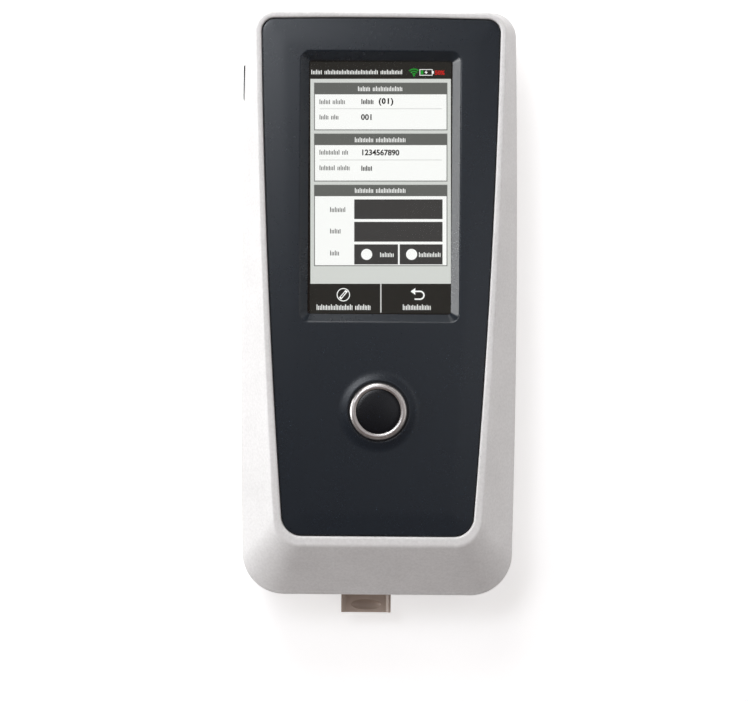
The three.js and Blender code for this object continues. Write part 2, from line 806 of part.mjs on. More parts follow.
// Front panel: one moulding with the sloped screen recess, the swell round the button, and posts behind.
function frontPanel() {
  const window = rectangle(windowWidth, windowLength, recessFloorRadius, screenY);
  const mouth = rectangle(recessWidth, recessLength, recessRadius, screenY);
  const displayPosts = earSpots.map(([x, y]) => [x, y + screenY]);
  const buttonPosts = buttonPostSpots.map(([x, y]) => [x, y + buttonY]);
  const inPanelZ = panelTopZ - bond;
  const solids = [
    plate(panel, [panelUnderZ, panelTopZ]),
    plate(mouth, [recessFloorZ, panelTopZ], -skirtWidth),
    post([0, buttonY], [inPanelZ, swellTopZ], swellRadius, roundSteps, swellTopRadius),
    ...posts(displayPosts, [earTopZ + bond, inPanelZ], panelPostRadius),
    ...posts(buttonPosts, [buttonBoardTopZ + bond, inPanelZ], panelPostRadius),
  ];
  const spread = (recessRun * overrun) / recessDepth;
  const openings = [
    loft([
      { points: outline(window), z: recessFloorZ },
      { points: outline(mouth, -spread), z: panelTopZ + overrun },
    ]),
    plate(window, [recessFloorZ - overrun, recessFloorZ + bond]),
    post([0, buttonY], [panelUnderZ - overrun, swellTopZ + overrun], barrelRadius + slip, roundSteps),
    ...posts(displayPosts, [earTopZ - overrun, earTopZ + smallGrip], smallPilotRadius),
    ...posts(buttonPosts, [buttonBoardZ, buttonBoardTopZ + smallGrip], smallPilotRadius),
  ];
  return cut(join(...solids), ...openings);
}

// Display: gasket, cover glass, lit cell and the frame that carries it, about the screen's centre.
function displayGasket() {
  const hole = outline(rectangle(windowWidth, windowLength, recessFloorRadius));
  const edge = outline(rectangle(windowWidth, windowLength, recessFloorRadius), -gasketWidth);
  return loft(
    [
      { points: edge, z: gasketUnderZ },
      { points: edge, z: gasketTopZ },
      { points: hole, z: gasketTopZ },
      { points: hole, z: gasketUnderZ },
    ],
    true,
  );
}

function displayFrame() {
  const body = box(about(0, frameWidth), about(0, frameLength), [frameUnderZ, displayTopZ]);
  const earX = about(0, 2 * earPostX + earSize);
  const ears = earYs.map((y) => box(earX, about(y, earSize), [frameUnderZ, earTopZ]));
  const pocketZ = [displayUnderZ - bond, displayTopZ + overrun];
  const pocket = box(about(0, displayWidth + 2 * slip), about(0, displayLength + 2 * slip), pocketZ);
  const holes = posts(earSpots, [frameUnderZ - overrun, earTopZ + overrun], smallPilotRadius);
  return cut(join(body, ...ears), pocket, ...holes);
}

// Button pieces, about the button's axis.
function buttonRing() {
  const middle = (ringRadius + ringBore) / 2;
  const reach = (ringRadius - ringBore) / 2;
  const crown = [];
  for (let step = 0; step <= 2 * edgeSteps; step += 1) {
    const angle = (step / edgeSteps) * quarterTurn;
    crown.push([middle + reach * Math.cos(angle), ringSeatZ + ringStep + ringCrown * Math.sin(angle)]);
  }
  return turned([
    [barrelBore, barrelUnderZ],
    [barrelRadius, barrelUnderZ],
    [barrelRadius, ringSeatZ],
    [ringRadius, ringSeatZ],
    ...crown,
    [ringBore, lipUnderZ],
    [barrelBore, lipUnderZ],
    [barrelBore, barrelUnderZ],
  ]);
}

function buttonNut() {
  const highZ = panelUnderZ - bond;
  const lowZ = highZ - nutThickness;
  const bore = post([0, 0], [lowZ - overrun, highZ + overrun], barrelRadius + slip, roundSteps);
  return cut(post([0, 0], [lowZ, highZ], nutRadius, nutSides), bore);
}

function buttonCap() {
  const capRadius = ringBore - slip;
  const shoulderRadius = barrelBore - slip;
  const shoulderTopZ = Math.min(capUnderZ + capShoulder, lipUnderZ - bond);
  return turned([
    [0, stemUnderZ],
    [stemRadius, stemUnderZ],
    [stemRadius, capUnderZ],
    [shoulderRadius, capUnderZ],
    [shoulderRadius, shoulderTopZ],
    [capRadius, shoulderTopZ],
    [capRadius, capTopZ - capEdge],
    [capRadius - capEdge, capTopZ],
    [0, capTopZ],
  ]);
}

function buttonSwitch() {
  const body = box(about(0, switchSize), about(0, switchSize), [buttonBoardTopZ + bond, switchTopZ]);
  const wellZ = [stemUnderZ - buttonTravel - slip, switchTopZ + overrun];
  return cut(body, post([0, 0], wellZ, stemRadius + slip));
}

function buttonBoard() {
  const body = box(about(0, buttonBoardWidth), about(0, buttonBoardLength), [buttonBoardZ, buttonBoardTopZ]);
  const holeZ = [buttonBoardZ - overrun, buttonBoardTopZ + overrun];
  const holes = posts(buttonPostSpots, holeZ, smallPilotRadius);
  return cut(body, ...holes);
}

// Cassette tray: pocket, finger tab with its rails and dish, and a groove along the right side.
function cassetteTray() {
  const tabY = [trayTipY, trayFrontY + pocketFrontWall / 2];
  const tabTopZ = trayZ + tabThickness;
  const railX = (tabWidth - tabRailWidth) / 2;
  const solids = [
    box(about(0, trayWidth), [trayFrontY, trayRearY], [trayZ, trayTopZ]),
    box(about(0, tabWidth), tabY, [trayZ, tabTopZ]),
    box(about(railX, tabRailWidth), tabY, [trayZ, tabTopZ + tabRailHeight]),
    box(about(-railX, tabRailWidth), tabY, [trayZ, tabTopZ + tabRailHeight]),
  ];
  const grooveX = [trayWidth / 2 - catchNoseReach - slip, trayWidth / 2 + overrun];
  const grooveY = [catchY - grooveHalfLength, catchY + trayTravel + grooveHalfLength];
  const dish = new THREE.SphereGeometry(1, plainRoundSteps, smallRoundSteps)
    .scale(dishWidth / 2, dishLength / 2, dishDepth)
    .translate(0, trayTipY + dishFromTip, tabTopZ);
  return cut(
    join(...solids),
    box(about(0, pocketWidth), [pocketFrontY, pocketRearY], [pocketZ, trayTopZ + overrun]),
    box(grooveX, grooveY, about(grooveZ, catchNoseHeight + 2 * slip)),
    dish,
  );
}

// Base channel of the reader unit: floor, two side walls, a rear wall, screw lugs and the catch window.
function readerBase() {
  const lugTopZ = channelUnderZ + lugThickness;
  const body = box(about(0, channelWidth), [channelFrontY, channelRearY], [channelUnderZ, channelTopZ]);
  const lugs = lugSpots.map(([x, y]) => {
    const middle = x - (Math.sign(x) * channelWall) / 2;
    return box(about(middle, lugSize + channelWall), about(y, lugSize), [channelUnderZ, lugTopZ]);
  });
  const tunnelY = [channelFrontY - overrun, channelRearY - channelWall];
  const tunnel = box(about(0, trayWidth + 2 * trayRun), tunnelY, [channelFloorZ, channelTopZ + overrun]);
  const windowX = [trayWidth / 2, channelWidth / 2 + overrun];
  const windowZ = about(grooveZ, catchNoseHeight + 2 * slip);
  const window = box(windowX, about(catchY, catchNoseWidth + 2 * slip), windowZ);
  const holes = posts(lugSpots, [channelUnderZ - overrun, lugTopZ + overrun], smallPilotRadius);
  return cut(join(body, ...lugs), tunnel, window, ...holes);
}

// Camera tower: a roof over the channel with an open-topped tower on it and a read window in its floor.
function cameraTower() {
  const roof = box(about(0, channelWidth), [channelFrontY, channelRearY], [roofZ, roofTopZ]);
  const tower = box(about(0, channelWidth), [towerFrontY, towerRearY], [roofZ, towerTopZ]);
  const insideY = [towerFrontY + channelWall, towerRearY - channelWall];
  const inside = box(about(0, channelWidth - 2 * channelWall), insideY, [roofTopZ, towerTopZ + overrun]);
  const windowZ = [roofZ - overrun, roofTopZ + overrun];
  const window = box(about(0, readWindowWidth), about(towerY, readWindowLength), windowZ);
  return cut(join(roof, tower), inside, window);
}

function ledBoard() {
  const lowZ = towerTopZ - ledBoardThickness;
  const width = channelWidth - 2 * (channelWall + slip);
  const length = towerLength - 2 * (channelWall + slip);
  const ledX = width / 2 - ledSize;
  const ledY = length / 2 - ledSize;
  const ledZ = [lowZ - ledHeight, towerTopZ];
  const ledSpots = [...bothSides([ledX, ledY]), ...bothSides([ledX, -ledY])];
  const leds = ledSpots.map(([x, y]) => box(about(x, ledSize), about(y, ledSize), ledZ));
  const board = box(about(0, width), about(0, length), [lowZ, towerTopZ]);
  const holeZ = [lowZ - overrun, towerTopZ + overrun];
  return cut(join(board, ...leds), post([0, 0], holeZ, lensRadius + slip, plainRoundSteps));
}

function cameraLens() {
  const highZ = cameraBoardZ - bond;
  const lowZ = readWindowTopZ + lensClearance;
  return turned(
    [
      [0, lowZ + lensDimple],
      [lensTipRadius - lensDimple, lowZ],
      [lensTipRadius, lowZ],
      [lensTipRadius, lowZ + lensTipLength],
      [lensRadius, lowZ + lensTipLength],
      [lensRadius, highZ],
      [0, highZ],
    ],
    plainRoundSteps,
  );
}

// Foam seal round the tray, just inside the end wall.
function lightSeal() {
  const holeX = trayWidth + 2 * slip;
  const sealRearY = sealFrontY + sealThickness;
  const frameZ = [trayZ - slip - sealWidth, trayTopZ + slip + sealWidth];
  const frame = box(about(0, holeX + 2 * sealWidth), [sealFrontY, sealRearY], frameZ);
  const holeY = [sealFrontY - overrun, sealRearY + overrun];
  return cut(frame, box(about(0, holeX), holeY, [trayZ - slip, trayTopZ + slip]));
}

// Leaf catch on the channel's right wall: its nose rides in the tray's groove and stops it at full travel.
function trayCatch() {
  const leafX = [channelWidth / 2 + bond, channelWidth / 2 + bond + catchThickness];
  const leafY = [catchY - catchNoseWidth, catchY - catchNoseWidth + catchLength];
  const noseX = [trayWidth / 2 - catchNoseReach, leafX[1]];
  return join(
    box(leafX, leafY, about(grooveZ, catchHeight)),
    box(noseX, about(catchY, catchNoseWidth), about(grooveZ, catchNoseHeight)),
  );
}

// Battery pack: two wrapped cells side by side.
function batteryPack() {
  const cells = [cellRadius, -cellRadius].map((x) =>
    new THREE.CylinderGeometry(cellRadius, cellRadius, packLength, roundSteps).translate(x, bayY, packZ),
  );
  return join(...cells, box(about(0, packWebWidth), about(bayY, packLength), about(packZ, packWebHeight)));
}

// Battery door: a rounded plate with a tongue at one end, two sunk screws and a thumb groove.
function batteryDoor() {
  const tongueY = [doorHighY - overrun, doorHighY + tongueLength];
  const tongue = box(about(0, tongueWidth), tongueY, [doorTopZ - tongueThickness, doorTopZ]);
  const grip = roundEnded(gripWidth, gripLength, doorHighY - gripFromEnd);
  const lowZ = doorUnderZ - overrun;
  return cut(
    join(plate(doorShape, [doorUnderZ, doorTopZ]), tongue),
    plate(grip, [lowZ, doorUnderZ + gripDepth]),
    ...posts(doorScrewSpots, [lowZ, doorTopZ + overrun], smallPilotRadius),
    ...posts(doorScrewSpots, [lowZ, doorUnderZ + smallHeadHeight + bond], smallHeadRadius + slip),
  );
}

// Lead from the pack's end face, out through the bay wall and up into its socket under the board.
function batteryLead() {
  const corner = new THREE.Vector3(0, packSocketY, packZ);
  const enter = new THREE.Vector3(0, packSocketY + leadBend, packZ);
  const leave = new THREE.Vector3(0, packSocketY, packZ + leadBend);
  const start = new THREE.Vector3(0, bayLowY + slip - bond, packZ);
  const end = new THREE.Vector3(0, packSocketY, underBoardZ - packSocketHeight - bond);
  const path = new THREE.CurvePath();
  path.add(new THREE.LineCurve3(start, enter));
  path.add(new THREE.QuadraticBezierCurve3(enter, corner, leave));
  path.add(new THREE.LineCurve3(leave, end));
  const circle = new THREE.Shape().absarc(0, 0, leadRadius, 0, 4 * quarterTurn);
  const curveSegments = smallRoundSteps;
  return new THREE.ExtrudeGeometry(circle, { steps: smallRoundSteps, curveSegments, extrudePath: path });
}

// Main board, with a tab at its left edge over the power key's switch.
function mainBoard() {
  const body = box(about(0, mainBoardWidth), [boardLowY, boardHighY], [boardZ, boardTopZ]);
  const tabX = [-keyWallX + keySwitchX + keyTabLap, -mainBoardWidth / 2 + keyTabMargin];
  const tab = box(tabX, about(keyY, keySwitchWidth + 2 * keyTabMargin), [boardZ, boardTopZ]);
  const holes = posts(boardScrewSpots, [boardZ - overrun, boardTopZ + overrun], smallPilotRadius);
  return cut(join(body, tab), ...holes);
}

// Charging socket: an open metal shell with a contact tongue, in the top end wall.
function chargingSocket() {
  const face = roundEnded(chargeWidth, chargeHeight);
  const hollow = plate(face, [-overrun, chargeLength - chargeShell], chargeShell);
  const shell = cut(plate(face, [0, chargeLength]), hollow).rotateX(quarterTurn);
  const tongueY = [chargeShell / 2 - chargeLength, -chargeShell];
  return join(shell, box(about(0, chargeTongueWidth), tongueY, about(0, chargeTongueThickness)));
}

// A flat cable folded twice: along one level, down, and a short foot on the board below.
function ribbon(x, width, [fromY, toY], topZ) {
  const across = about(x, width);
  const foldY = toY - ribbonThickness;
  return join(
    box(across, [fromY, toY], [topZ - ribbonThickness, topZ]),
    box(across, [foldY, toY], [onBoardZ, topZ]),
    box(across, [foldY, toY + ribbonFoot], [onBoardZ, onBoardZ + ribbonThickness]),
  );
}

// Speaker: a flat basket with its magnet, lying on the grille.
function speaker() {
  const lowZ = floorZ + bond;
  const highZ = lowZ + speakerThickness;
  const magnetRadius = speakerRadius - 2 * speakerRingWall;
  return turned([
    [0, lowZ],
    [speakerRadius, lowZ],
    [speakerRadius, highZ - speakerRingWall],
    [magnetRadius, highZ - speakerRingWall],
    [magnetRadius, highZ],
    [0, highZ],
  ]);
}

// Power key, about the middle of its place on the wall's outer face, with +X into the body.
function powerKey() {
  const flangeZ = about(0, keyWidth + 2 * keyFlange);
  return join(
    plate(roundEnded(keyWidth, keyLength), [-keyProud, keyFlangeX + bond]).rotateY(quarterTurn),
    box([keyFlangeX, keyStemX], about(0, keyLength + 2 * keyFlange), flangeZ),
    box([keyStemX - bond, keyStemX + keyStemLength], about(0, keyStemSize), about(0, keyStemSize)),
  );
}

// A screw standing on its head: the head's face at zero, its seat above that and the shank pointing up.
function screw(headRadius, headHeight, shankRadius, grip) {
  const driveRadius = headRadius * driveRadiusShare;
  const driveDepth = headHeight * driveDepthShare;
  return turned(
    [
      [0, driveDepth],
      [driveRadius, driveDepth],
      [driveRadius, 0],
      [headRadius, 0],
      [headRadius, headHeight],
      [shankRadius, headHeight],
      [shankRadius, headHeight + grip],
      [0, headHeight + grip],
    ],
    smallRoundSteps,
  );
}

function rubberFoot() {
  const highZ = footProud + footPocket - bond;
  return turned(
    [
      [0, 0],
      [footRadius - footEdge, 0],
      [footRadius, footEdge],
      [footRadius, highZ],
      [0, highZ],
    ],
    plainRoundSteps,
  );
}

// Assembly: the body, with the display, button and reader unit as groups about their own centres.
const body = new THREE.Group();
const display = new THREE.Group();
const button = new THREE.Group();
const reader = new THREE.Group();
display.position.set(0, screenY, 0);
button.position.set(0, buttonY, 0);
reader.position.set(trayOffset, 0, 0);
body.add(display, button, reader);

function place(group, name, geometry, material, [x, y, z] = [0, 0, 0], isUpsideDown = false) {
  const mesh = new THREE.Mesh(geometry, material);
  mesh.name = name;
  mesh.position.set(x, y, z);
  mesh.rotation.set(isUpsideDown ? 2 * quarterTurn : 0, 0, 0);
  group.add(mesh);
}

place(body, "front_housing", frontHousing(), whitePlastic);
place(body, "back_housing", backHousing(), whitePlastic);
place(body, "front_panel", frontPanel(), darkPlastic);

const glass = rectangle(glassWidth, glassLength, glassRadius);
const cell = box(about(0, displayWidth), about(0, displayLength), [displayUnderZ, displayTopZ]);
place(display, "display_gasket", displayGasket(), foam);
place(display, "cover_glass", plate(glass, [glassUnderZ, glassTopZ]), screenGlass);
place(display, "display_cell", cell, displayLight);
place(display, "display_frame", displayFrame(), shieldMetal);

place(button, "button_ring", buttonRing(), polishedMetal);
place(button, "button_nut", buttonNut(), screwMetal);
place(button, "button_cap", buttonCap(), blackPlastic);
place(button, "button_switch", buttonSwitch(), blackPlastic);
place(button, "button_board", buttonBoard(), boardLaminate);

const readWindow = box(
  about(0, readWindowWidth + 2 * readWindowMargin),
  about(0, readWindowLength + 2 * readWindowMargin),
  [readWindowTopZ - readWindowThickness, readWindowTopZ],
);
const cameraBoard = box(about(0, channelWidth), about(0, towerLength), [0, boardThickness]);
const traySwitch = box(about(0, traySwitchWidth), [0, traySwitchDepth], [0, traySwitchHeight]);
place(reader, "cassette_tray", cassetteTray(), trayPlastic);
place(reader, "reader_base", readerBase(), blackPlastic);
place(reader, "camera_tower", cameraTower(), blackPlastic);
place(reader, "read_window", readWindow, clearGlass, [0, towerY, 0]);
place(reader, "led_board", ledBoard(), boardLaminate, [0, towerY, 0]);
place(reader, "camera_lens", cameraLens(), blackPlastic, [0, towerY, 0]);
place(reader, "camera_board", cameraBoard, boardLaminate, [0, towerY, cameraBoardZ]);
place(reader, "light_seal", lightSeal(), foam);
place(reader, "tray_catch", trayCatch(), springMetal);
place(reader, "tray_switch", traySwitch, blackPlastic, [0, trayRearY + 2 * slip, channelFloorZ + bond]);

const packSocketZ = [underBoardZ - packSocketHeight, underBoardZ];
const packSocket = box(about(0, packSocketSize), about(packSocketY, packSocketSize), packSocketZ);
const shield = box(about(0, processorWidth), about(0, processorLength), [0, shieldHeight]);
const wireless = box([-wirelessWidth, 0], [-wirelessLength, 0], [0, wirelessHeight]);
const wirelessCorner = [mainBoardWidth / 2 - wirelessFromEdge, boardHighY - wirelessFromTopEnd, onBoardZ];
place(body, "battery_pack", batteryPack(), batteryWrap);
place(body, "battery_door", batteryDoor(), whitePlastic);
place(body, "battery_lead", batteryLead(), leadSheath);
place(body, "battery_socket", packSocket, blackPlastic);
place(body, "main_board", mainBoard(), boardLaminate);
place(body, "charging_socket", chargingSocket(), shieldMetal, [0, chargeEndY, chargeZ]);
place(body, "processor_shield", shield, shieldMetal, [0, boardLowY + processorFromLowEnd, onBoardZ]);
place(body, "wireless_module", wireless, shieldMetal, wirelessCorner);
place(body, "speaker", speaker(), blackPlastic, [...speakerSpot, 0]);

const keySwitch = box([0, keySwitchDepth], about(0, keySwitchWidth), about(0, switchHeight));
place(body, "power_key", powerKey(), keyPlastic, [-keyWallX, keyY, keyZ]);
place(body, "power_switch", keySwitch, blackPlastic, [keySwitchX - keyWallX, keyY, keyZ]);

const displayRibbonY = [screenY, screenY + displayRibbonRun];
const buttonRibbonY = [buttonY, boardLowY + ribbonFoot];
const readerRibbonY = [towerRearY - ribbonFoot, boardLowY + ribbonFoot];
const readerRibbonZ = cameraBoardZ + boardThickness + bond + ribbonThickness;
const displayRibbon = ribbon(0, displayRibbonWidth, displayRibbonY, frameUnderZ - bond);
const buttonRibbon = ribbon(buttonRibbonX, buttonRibbonWidth, buttonRibbonY, buttonBoardZ - bond);
const readerRibbon = ribbon(readerRibbonX, readerRibbonWidth, readerRibbonY, readerRibbonZ);
place(body, "display_ribbon", displayRibbon, ribbonFilm);
place(body, "button_ribbon", buttonRibbon, ribbonFilm);
place(body, "reader_ribbon", readerRibbon, ribbonFilm);

// Fasteners and feet, each set placed at its spots, with heads up where they are driven from the front.
function placeScrews(group, name, spots, z, grip, isUpsideDown = false) {
  spots.forEach(([x, y], index) => {
    const geometry = screw(smallHeadRadius, smallHeadHeight, smallScrewRadius, grip);
    place(group, name + "_" + (index + 1), geometry, screwMetal, [x, y, z], isUpsideDown);
  });
}

const frameHeadZ = frameUnderZ - bond - smallHeadHeight;
const buttonHeadZ = buttonBoardZ - bond - smallHeadHeight;
const boardHeadZ = onBoardZ + smallHeadHeight;
const lugHeadZ = channelUnderZ + lugThickness + bond + smallHeadHeight;
placeScrews(body, "door_screw", doorScrewSpots, doorUnderZ, smallGrip);
placeScrews(body, "board_screw", boardScrewSpots, boardHeadZ, boardThickness + smallGrip, true);
placeScrews(display, "display_screw", earSpots, frameHeadZ, earThickness + smallGrip - smallTip);
placeScrews(button, "button_screw", buttonPostSpots, buttonHeadZ, boardThickness + smallGrip - smallTip);
placeScrews(reader, "reader_screw", lugSpots, lugHeadZ, lugThickness + smallGrip, true);
caseScrewSpots.forEach(([x, y], index) => {
  const geometry = screw(screwHeadRadius, screwHeadHeight, screwRadius, screwSeat + screwGrip);
  const z = caseSeatZ - screwHeadHeight - bond;
  place(body, "case_screw_" + (index + 1), geometry, screwMetal, [x, y, z]);
});
footSpots.forEach(([x, y], index) => {
  place(body, "rubber_foot_" + (index + 1), rubberFoot(), rubber, [x, y, 0]);
});

// The whole reader lies with the middle of its outline, seen from above, on the origin.
body.updateMatrixWorld(true);
const extent = new THREE.Box3().setFromObject(body);
body.position.set(-(extent.min.x + extent.max.x) / 2, -(extent.min.y + extent.max.y) / 2, 0);

const group = new THREE.Group();
group.add(body);
export default group;
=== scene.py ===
# A handheld rapid test reader lying on its back, seen straight from above: a white two-piece housing, a dark
# front panel with a recessed lit screen, a round metal-ringed button and the tab of a cassette tray.
import json
import math

import bmesh
import bpy
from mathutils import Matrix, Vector, geometry


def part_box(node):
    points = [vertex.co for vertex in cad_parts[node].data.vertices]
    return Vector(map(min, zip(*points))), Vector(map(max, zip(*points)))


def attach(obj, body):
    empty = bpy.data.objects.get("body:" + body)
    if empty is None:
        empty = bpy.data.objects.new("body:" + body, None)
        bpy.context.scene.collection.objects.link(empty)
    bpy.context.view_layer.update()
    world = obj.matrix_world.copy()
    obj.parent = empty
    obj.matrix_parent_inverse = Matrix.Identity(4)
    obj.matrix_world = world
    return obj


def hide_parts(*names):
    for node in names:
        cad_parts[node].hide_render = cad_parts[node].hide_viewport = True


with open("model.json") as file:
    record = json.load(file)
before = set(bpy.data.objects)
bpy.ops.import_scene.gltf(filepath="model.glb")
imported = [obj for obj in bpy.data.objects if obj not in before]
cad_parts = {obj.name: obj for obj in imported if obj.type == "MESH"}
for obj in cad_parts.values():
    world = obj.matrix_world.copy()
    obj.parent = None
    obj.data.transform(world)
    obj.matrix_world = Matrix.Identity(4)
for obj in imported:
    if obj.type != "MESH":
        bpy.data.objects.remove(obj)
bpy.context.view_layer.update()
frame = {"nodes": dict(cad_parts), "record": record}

# The camera hangs straight over the reader, a little to the left of its centre line and below its middle, and
# the reader lies turned by less than half a degree in the picture.
housing_low, housing_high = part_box("front_housing")
middle = (housing_low + housing_high) / 2
camera_left = 0.0018
camera_down = 0.0181
camera_height = 0.9
picture_turn = math.radians(0.435)
camera = bpy.data.objects.new("camera", bpy.data.cameras.new("camera"))
camera.data.sensor_width = 36
camera.data.lens = 115.2
camera.location = (middle.x - camera_left, middle.y - camera_down, housing_high.z + camera_height)
camera.rotation_euler = (0, 0, picture_turn)
bpy.context.collection.objects.link(camera)
bpy.context.scene.camera = camera
bpy.context.scene.view_settings.view_transform = "Standard"

# Floor and backdrop: one round white sweep, flat under the reader and rising in a cove all round it. Seen
# directly, or in a reflection of its middle, it is near white, and it keeps the reader's shadow.
floor_radius = 1.9
cove_radius = 0.7
backdrop_height = 2.2
round_steps = 96
sharp_angle = math.radians(35)


def piece_of(name, mesh):
    """A linked object from a bmesh, smooth except along its sharp edges."""
    data = bpy.data.meshes.new(name)
    mesh.to_mesh(data)
    mesh.free()
    data.shade_smooth()
    data.set_sharp_from_angle(angle=sharp_angle)
    piece = bpy.data.objects.new(name, data)
    bpy.context.collection.objects.link(piece)
    return piece


def turned(name, profile, centre=(0, 0)):
    """A smooth round piece about an upright axis, from the (radius, height) points of its profile."""
    mesh = bmesh.new()
    rings = []
    for radius, height in profile:
        if radius == 0:
            rings.append([mesh.verts.new((*centre, height))] * round_steps)
            continue
        ring = []
        for step in range(round_steps):
            angle = step / round_steps * math.tau
            x = centre[0] + radius * math.cos(angle)
            y = centre[1] + radius * math.sin(angle)
            ring.append(mesh.verts.new((x, y, height)))
        rings.append(ring)
    for inner, outer in zip(rings, rings[1:]):
        for here in range(round_steps):
            after = (here + 1) % round_steps
            corners = [inner[here], outer[here], outer[after], inner[after]]
            mesh.faces.new(list(dict.fromkeys(corners)))
    bmesh.ops.remove_doubles(mesh, verts=mesh.verts, dist=1e-7)
    return piece_of(name, mesh)


def maths(tree, operation, first, second):
    """The result of a math node on two values, each a socket or a plain number."""
    node = tree.nodes.new("ShaderNodeMath")
    node.operation = operation
    for slot, value in zip(node.inputs, (first, second)):
        if isinstance(value, bpy.types.NodeSocket):
            tree.links.new(value, slot)
        else:
            slot.default_value = value
    return node.outputs[0]


def quarter(steps):
    """The angles of a quarter turn in even steps."""
    return [step / steps * math.pi / 2 for step in range(steps + 1)]


sweep_profile = [
    *[(radius, 0) for radius in (0, 0.4, 1.2)],
    *[
        (floor_radius + cove_radius * math.sin(angle), cove_radius * (1 - math.cos(angle)))
        for angle in quarter(12)
    ],
    (floor_radius + cove_radius, backdrop_height),
]
backdrop = turned("backdrop", sweep_profile)

glow_reach = 0.5
glow_end = 1.5
floor_glow = 0.5
backdrop_material = bpy.data.materials.new("white sweep")
backdrop_material.use_nodes = True
sweep_tree = backdrop_material.node_tree
paint = sweep_tree.nodes["Principled BSDF"]
paint.inputs["Base Color"].default_value = (0.82, 0.82, 0.82, 1)
paint.inputs["Roughness"].default_value = 0.9
paint.inputs["Specular IOR Level"].default_value = 0.1
paint.inputs["Emission Color"].default_value = (1, 1, 1, 1)
ray = sweep_tree.nodes.new("ShaderNodeLightPath")
place = sweep_tree.nodes.new("ShaderNodeTexCoord")
reach = sweep_tree.nodes.new("ShaderNodeVectorMath")
reach.operation = "LENGTH"
sweep_tree.links.new(place.outputs["Object"], reach.inputs[0])
near = sweep_tree.nodes.new("ShaderNodeMapRange")
near.interpolation_type = "SMOOTHSTEP"
near.inputs["From Min"].default_value = glow_reach
near.inputs["From Max"].default_value = glow_end
near.inputs["To Min"].default_value = 1
near.inputs["To Max"].default_value = 0
sweep_tree.links.new(reach.outputs["Value"], near.inputs["Value"])
mirrored = maths(sweep_tree, "MAXIMUM", ray.outputs["Is Glossy Ray"], ray.outputs["Is Transmission Ray"])
mirrored_near = maths(sweep_tree, "MULTIPLY", mirrored, near.outputs["Result"])
seen = maths(sweep_tree, "MAXIMUM", ray.outputs["Is Camera Ray"], mirrored_near)
sweep_tree.links.new(maths(sweep_tree, "MULTIPLY", seen, floor_glow), paint.inputs["Emission Strength"])
backdrop.data.materials.append(backdrop_material)

# Light: a soft box low on the left, a broad dim one on the right, one low and one high behind the top end,
# two small ones high on the upper left for the sheen on the panel, a dim one overhead, and a dim warm room.
room = bpy.data.worlds.new("room")
room.use_nodes = True
room.node_tree.nodes["Background"].inputs["Color"].default_value = (1.25, 0.93, 0.82, 1)
room.node_tree.nodes["Background"].inputs["Strength"].default_value = 0.12
bpy.context.scene.world = room

white = (1, 1, 1)
cool = (0.95, 0.985, 1.04)
for name, place, size, power, tint in (
    ("left box", (-1.25, 0.05, 0.3), (0.7, 0.4), 9.2, white),
    ("right box", (1.15, 0.35, 0.75), (2.0, 1.6), 6.1, white),
    ("rear box", (-0.3, 1.35, 0.42), (0.7, 0.7), 2.8, white),
    ("upper rear box", (-0.3, 1.15, 0.85), (0.7, 0.7), 6.8, white),
    ("sheen box", (-0.37, 0.28, 1.14), (0.3, 0.3), 1.7, cool),
    ("upper sheen box", (-0.25, 0.42, 1.14), (0.3, 0.3), 1.7, cool),
    ("overhead box", (0.23, 0.03, 1.5), (0.3, 0.26), 0.38, cool),
):
    lamp = bpy.data.objects.new(name, bpy.data.lights.new(name, "AREA"))
    lamp.data.shape = "RECTANGLE"
    lamp.data.size, lamp.data.size_y = size
    lamp.data.energy = power
    lamp.data.color = tint
    lamp.location = place
    lamp.rotation_euler = (-Vector(place)).to_track_quat("-Z", "Y").to_euler()
    bpy.context.collection.objects.link(lamp)

# Front housing: a white moulding with sloped sides that narrow from the belt to a flat rim round the panel.
# Its upper edge is softly rounded, and its lower edge laps over a lip of the back housing.
millimetre = 0.001
belt = dict(
    wide_top=103, wide_bottom=102.6, top=111.65, bottom=-111.65,
    round_top=9.6, round_bottom=16, bow=1.35, crown=0,
)
rim = dict(
    wide_top=94.9, wide_bottom=77.5, top=109, bottom=-92,
    round_top=7.5, round_bottom=10.5, bow=1.25, crown=0,
)
panel = dict(
    wide_top=89.3, wide_bottom=70.6, top=106.3, bottom=-87.65,
    round_top=4.5, round_bottom=7.3, bow=1.45, crown=0.5,
)
belt_height = 31.7
rim_height = 49.7
wall = 2.4
parting_gap = 0.3
seam_edge = 0.3
seam_bend = 0.08
notch_inset = 1.1
notch_height = 1.7


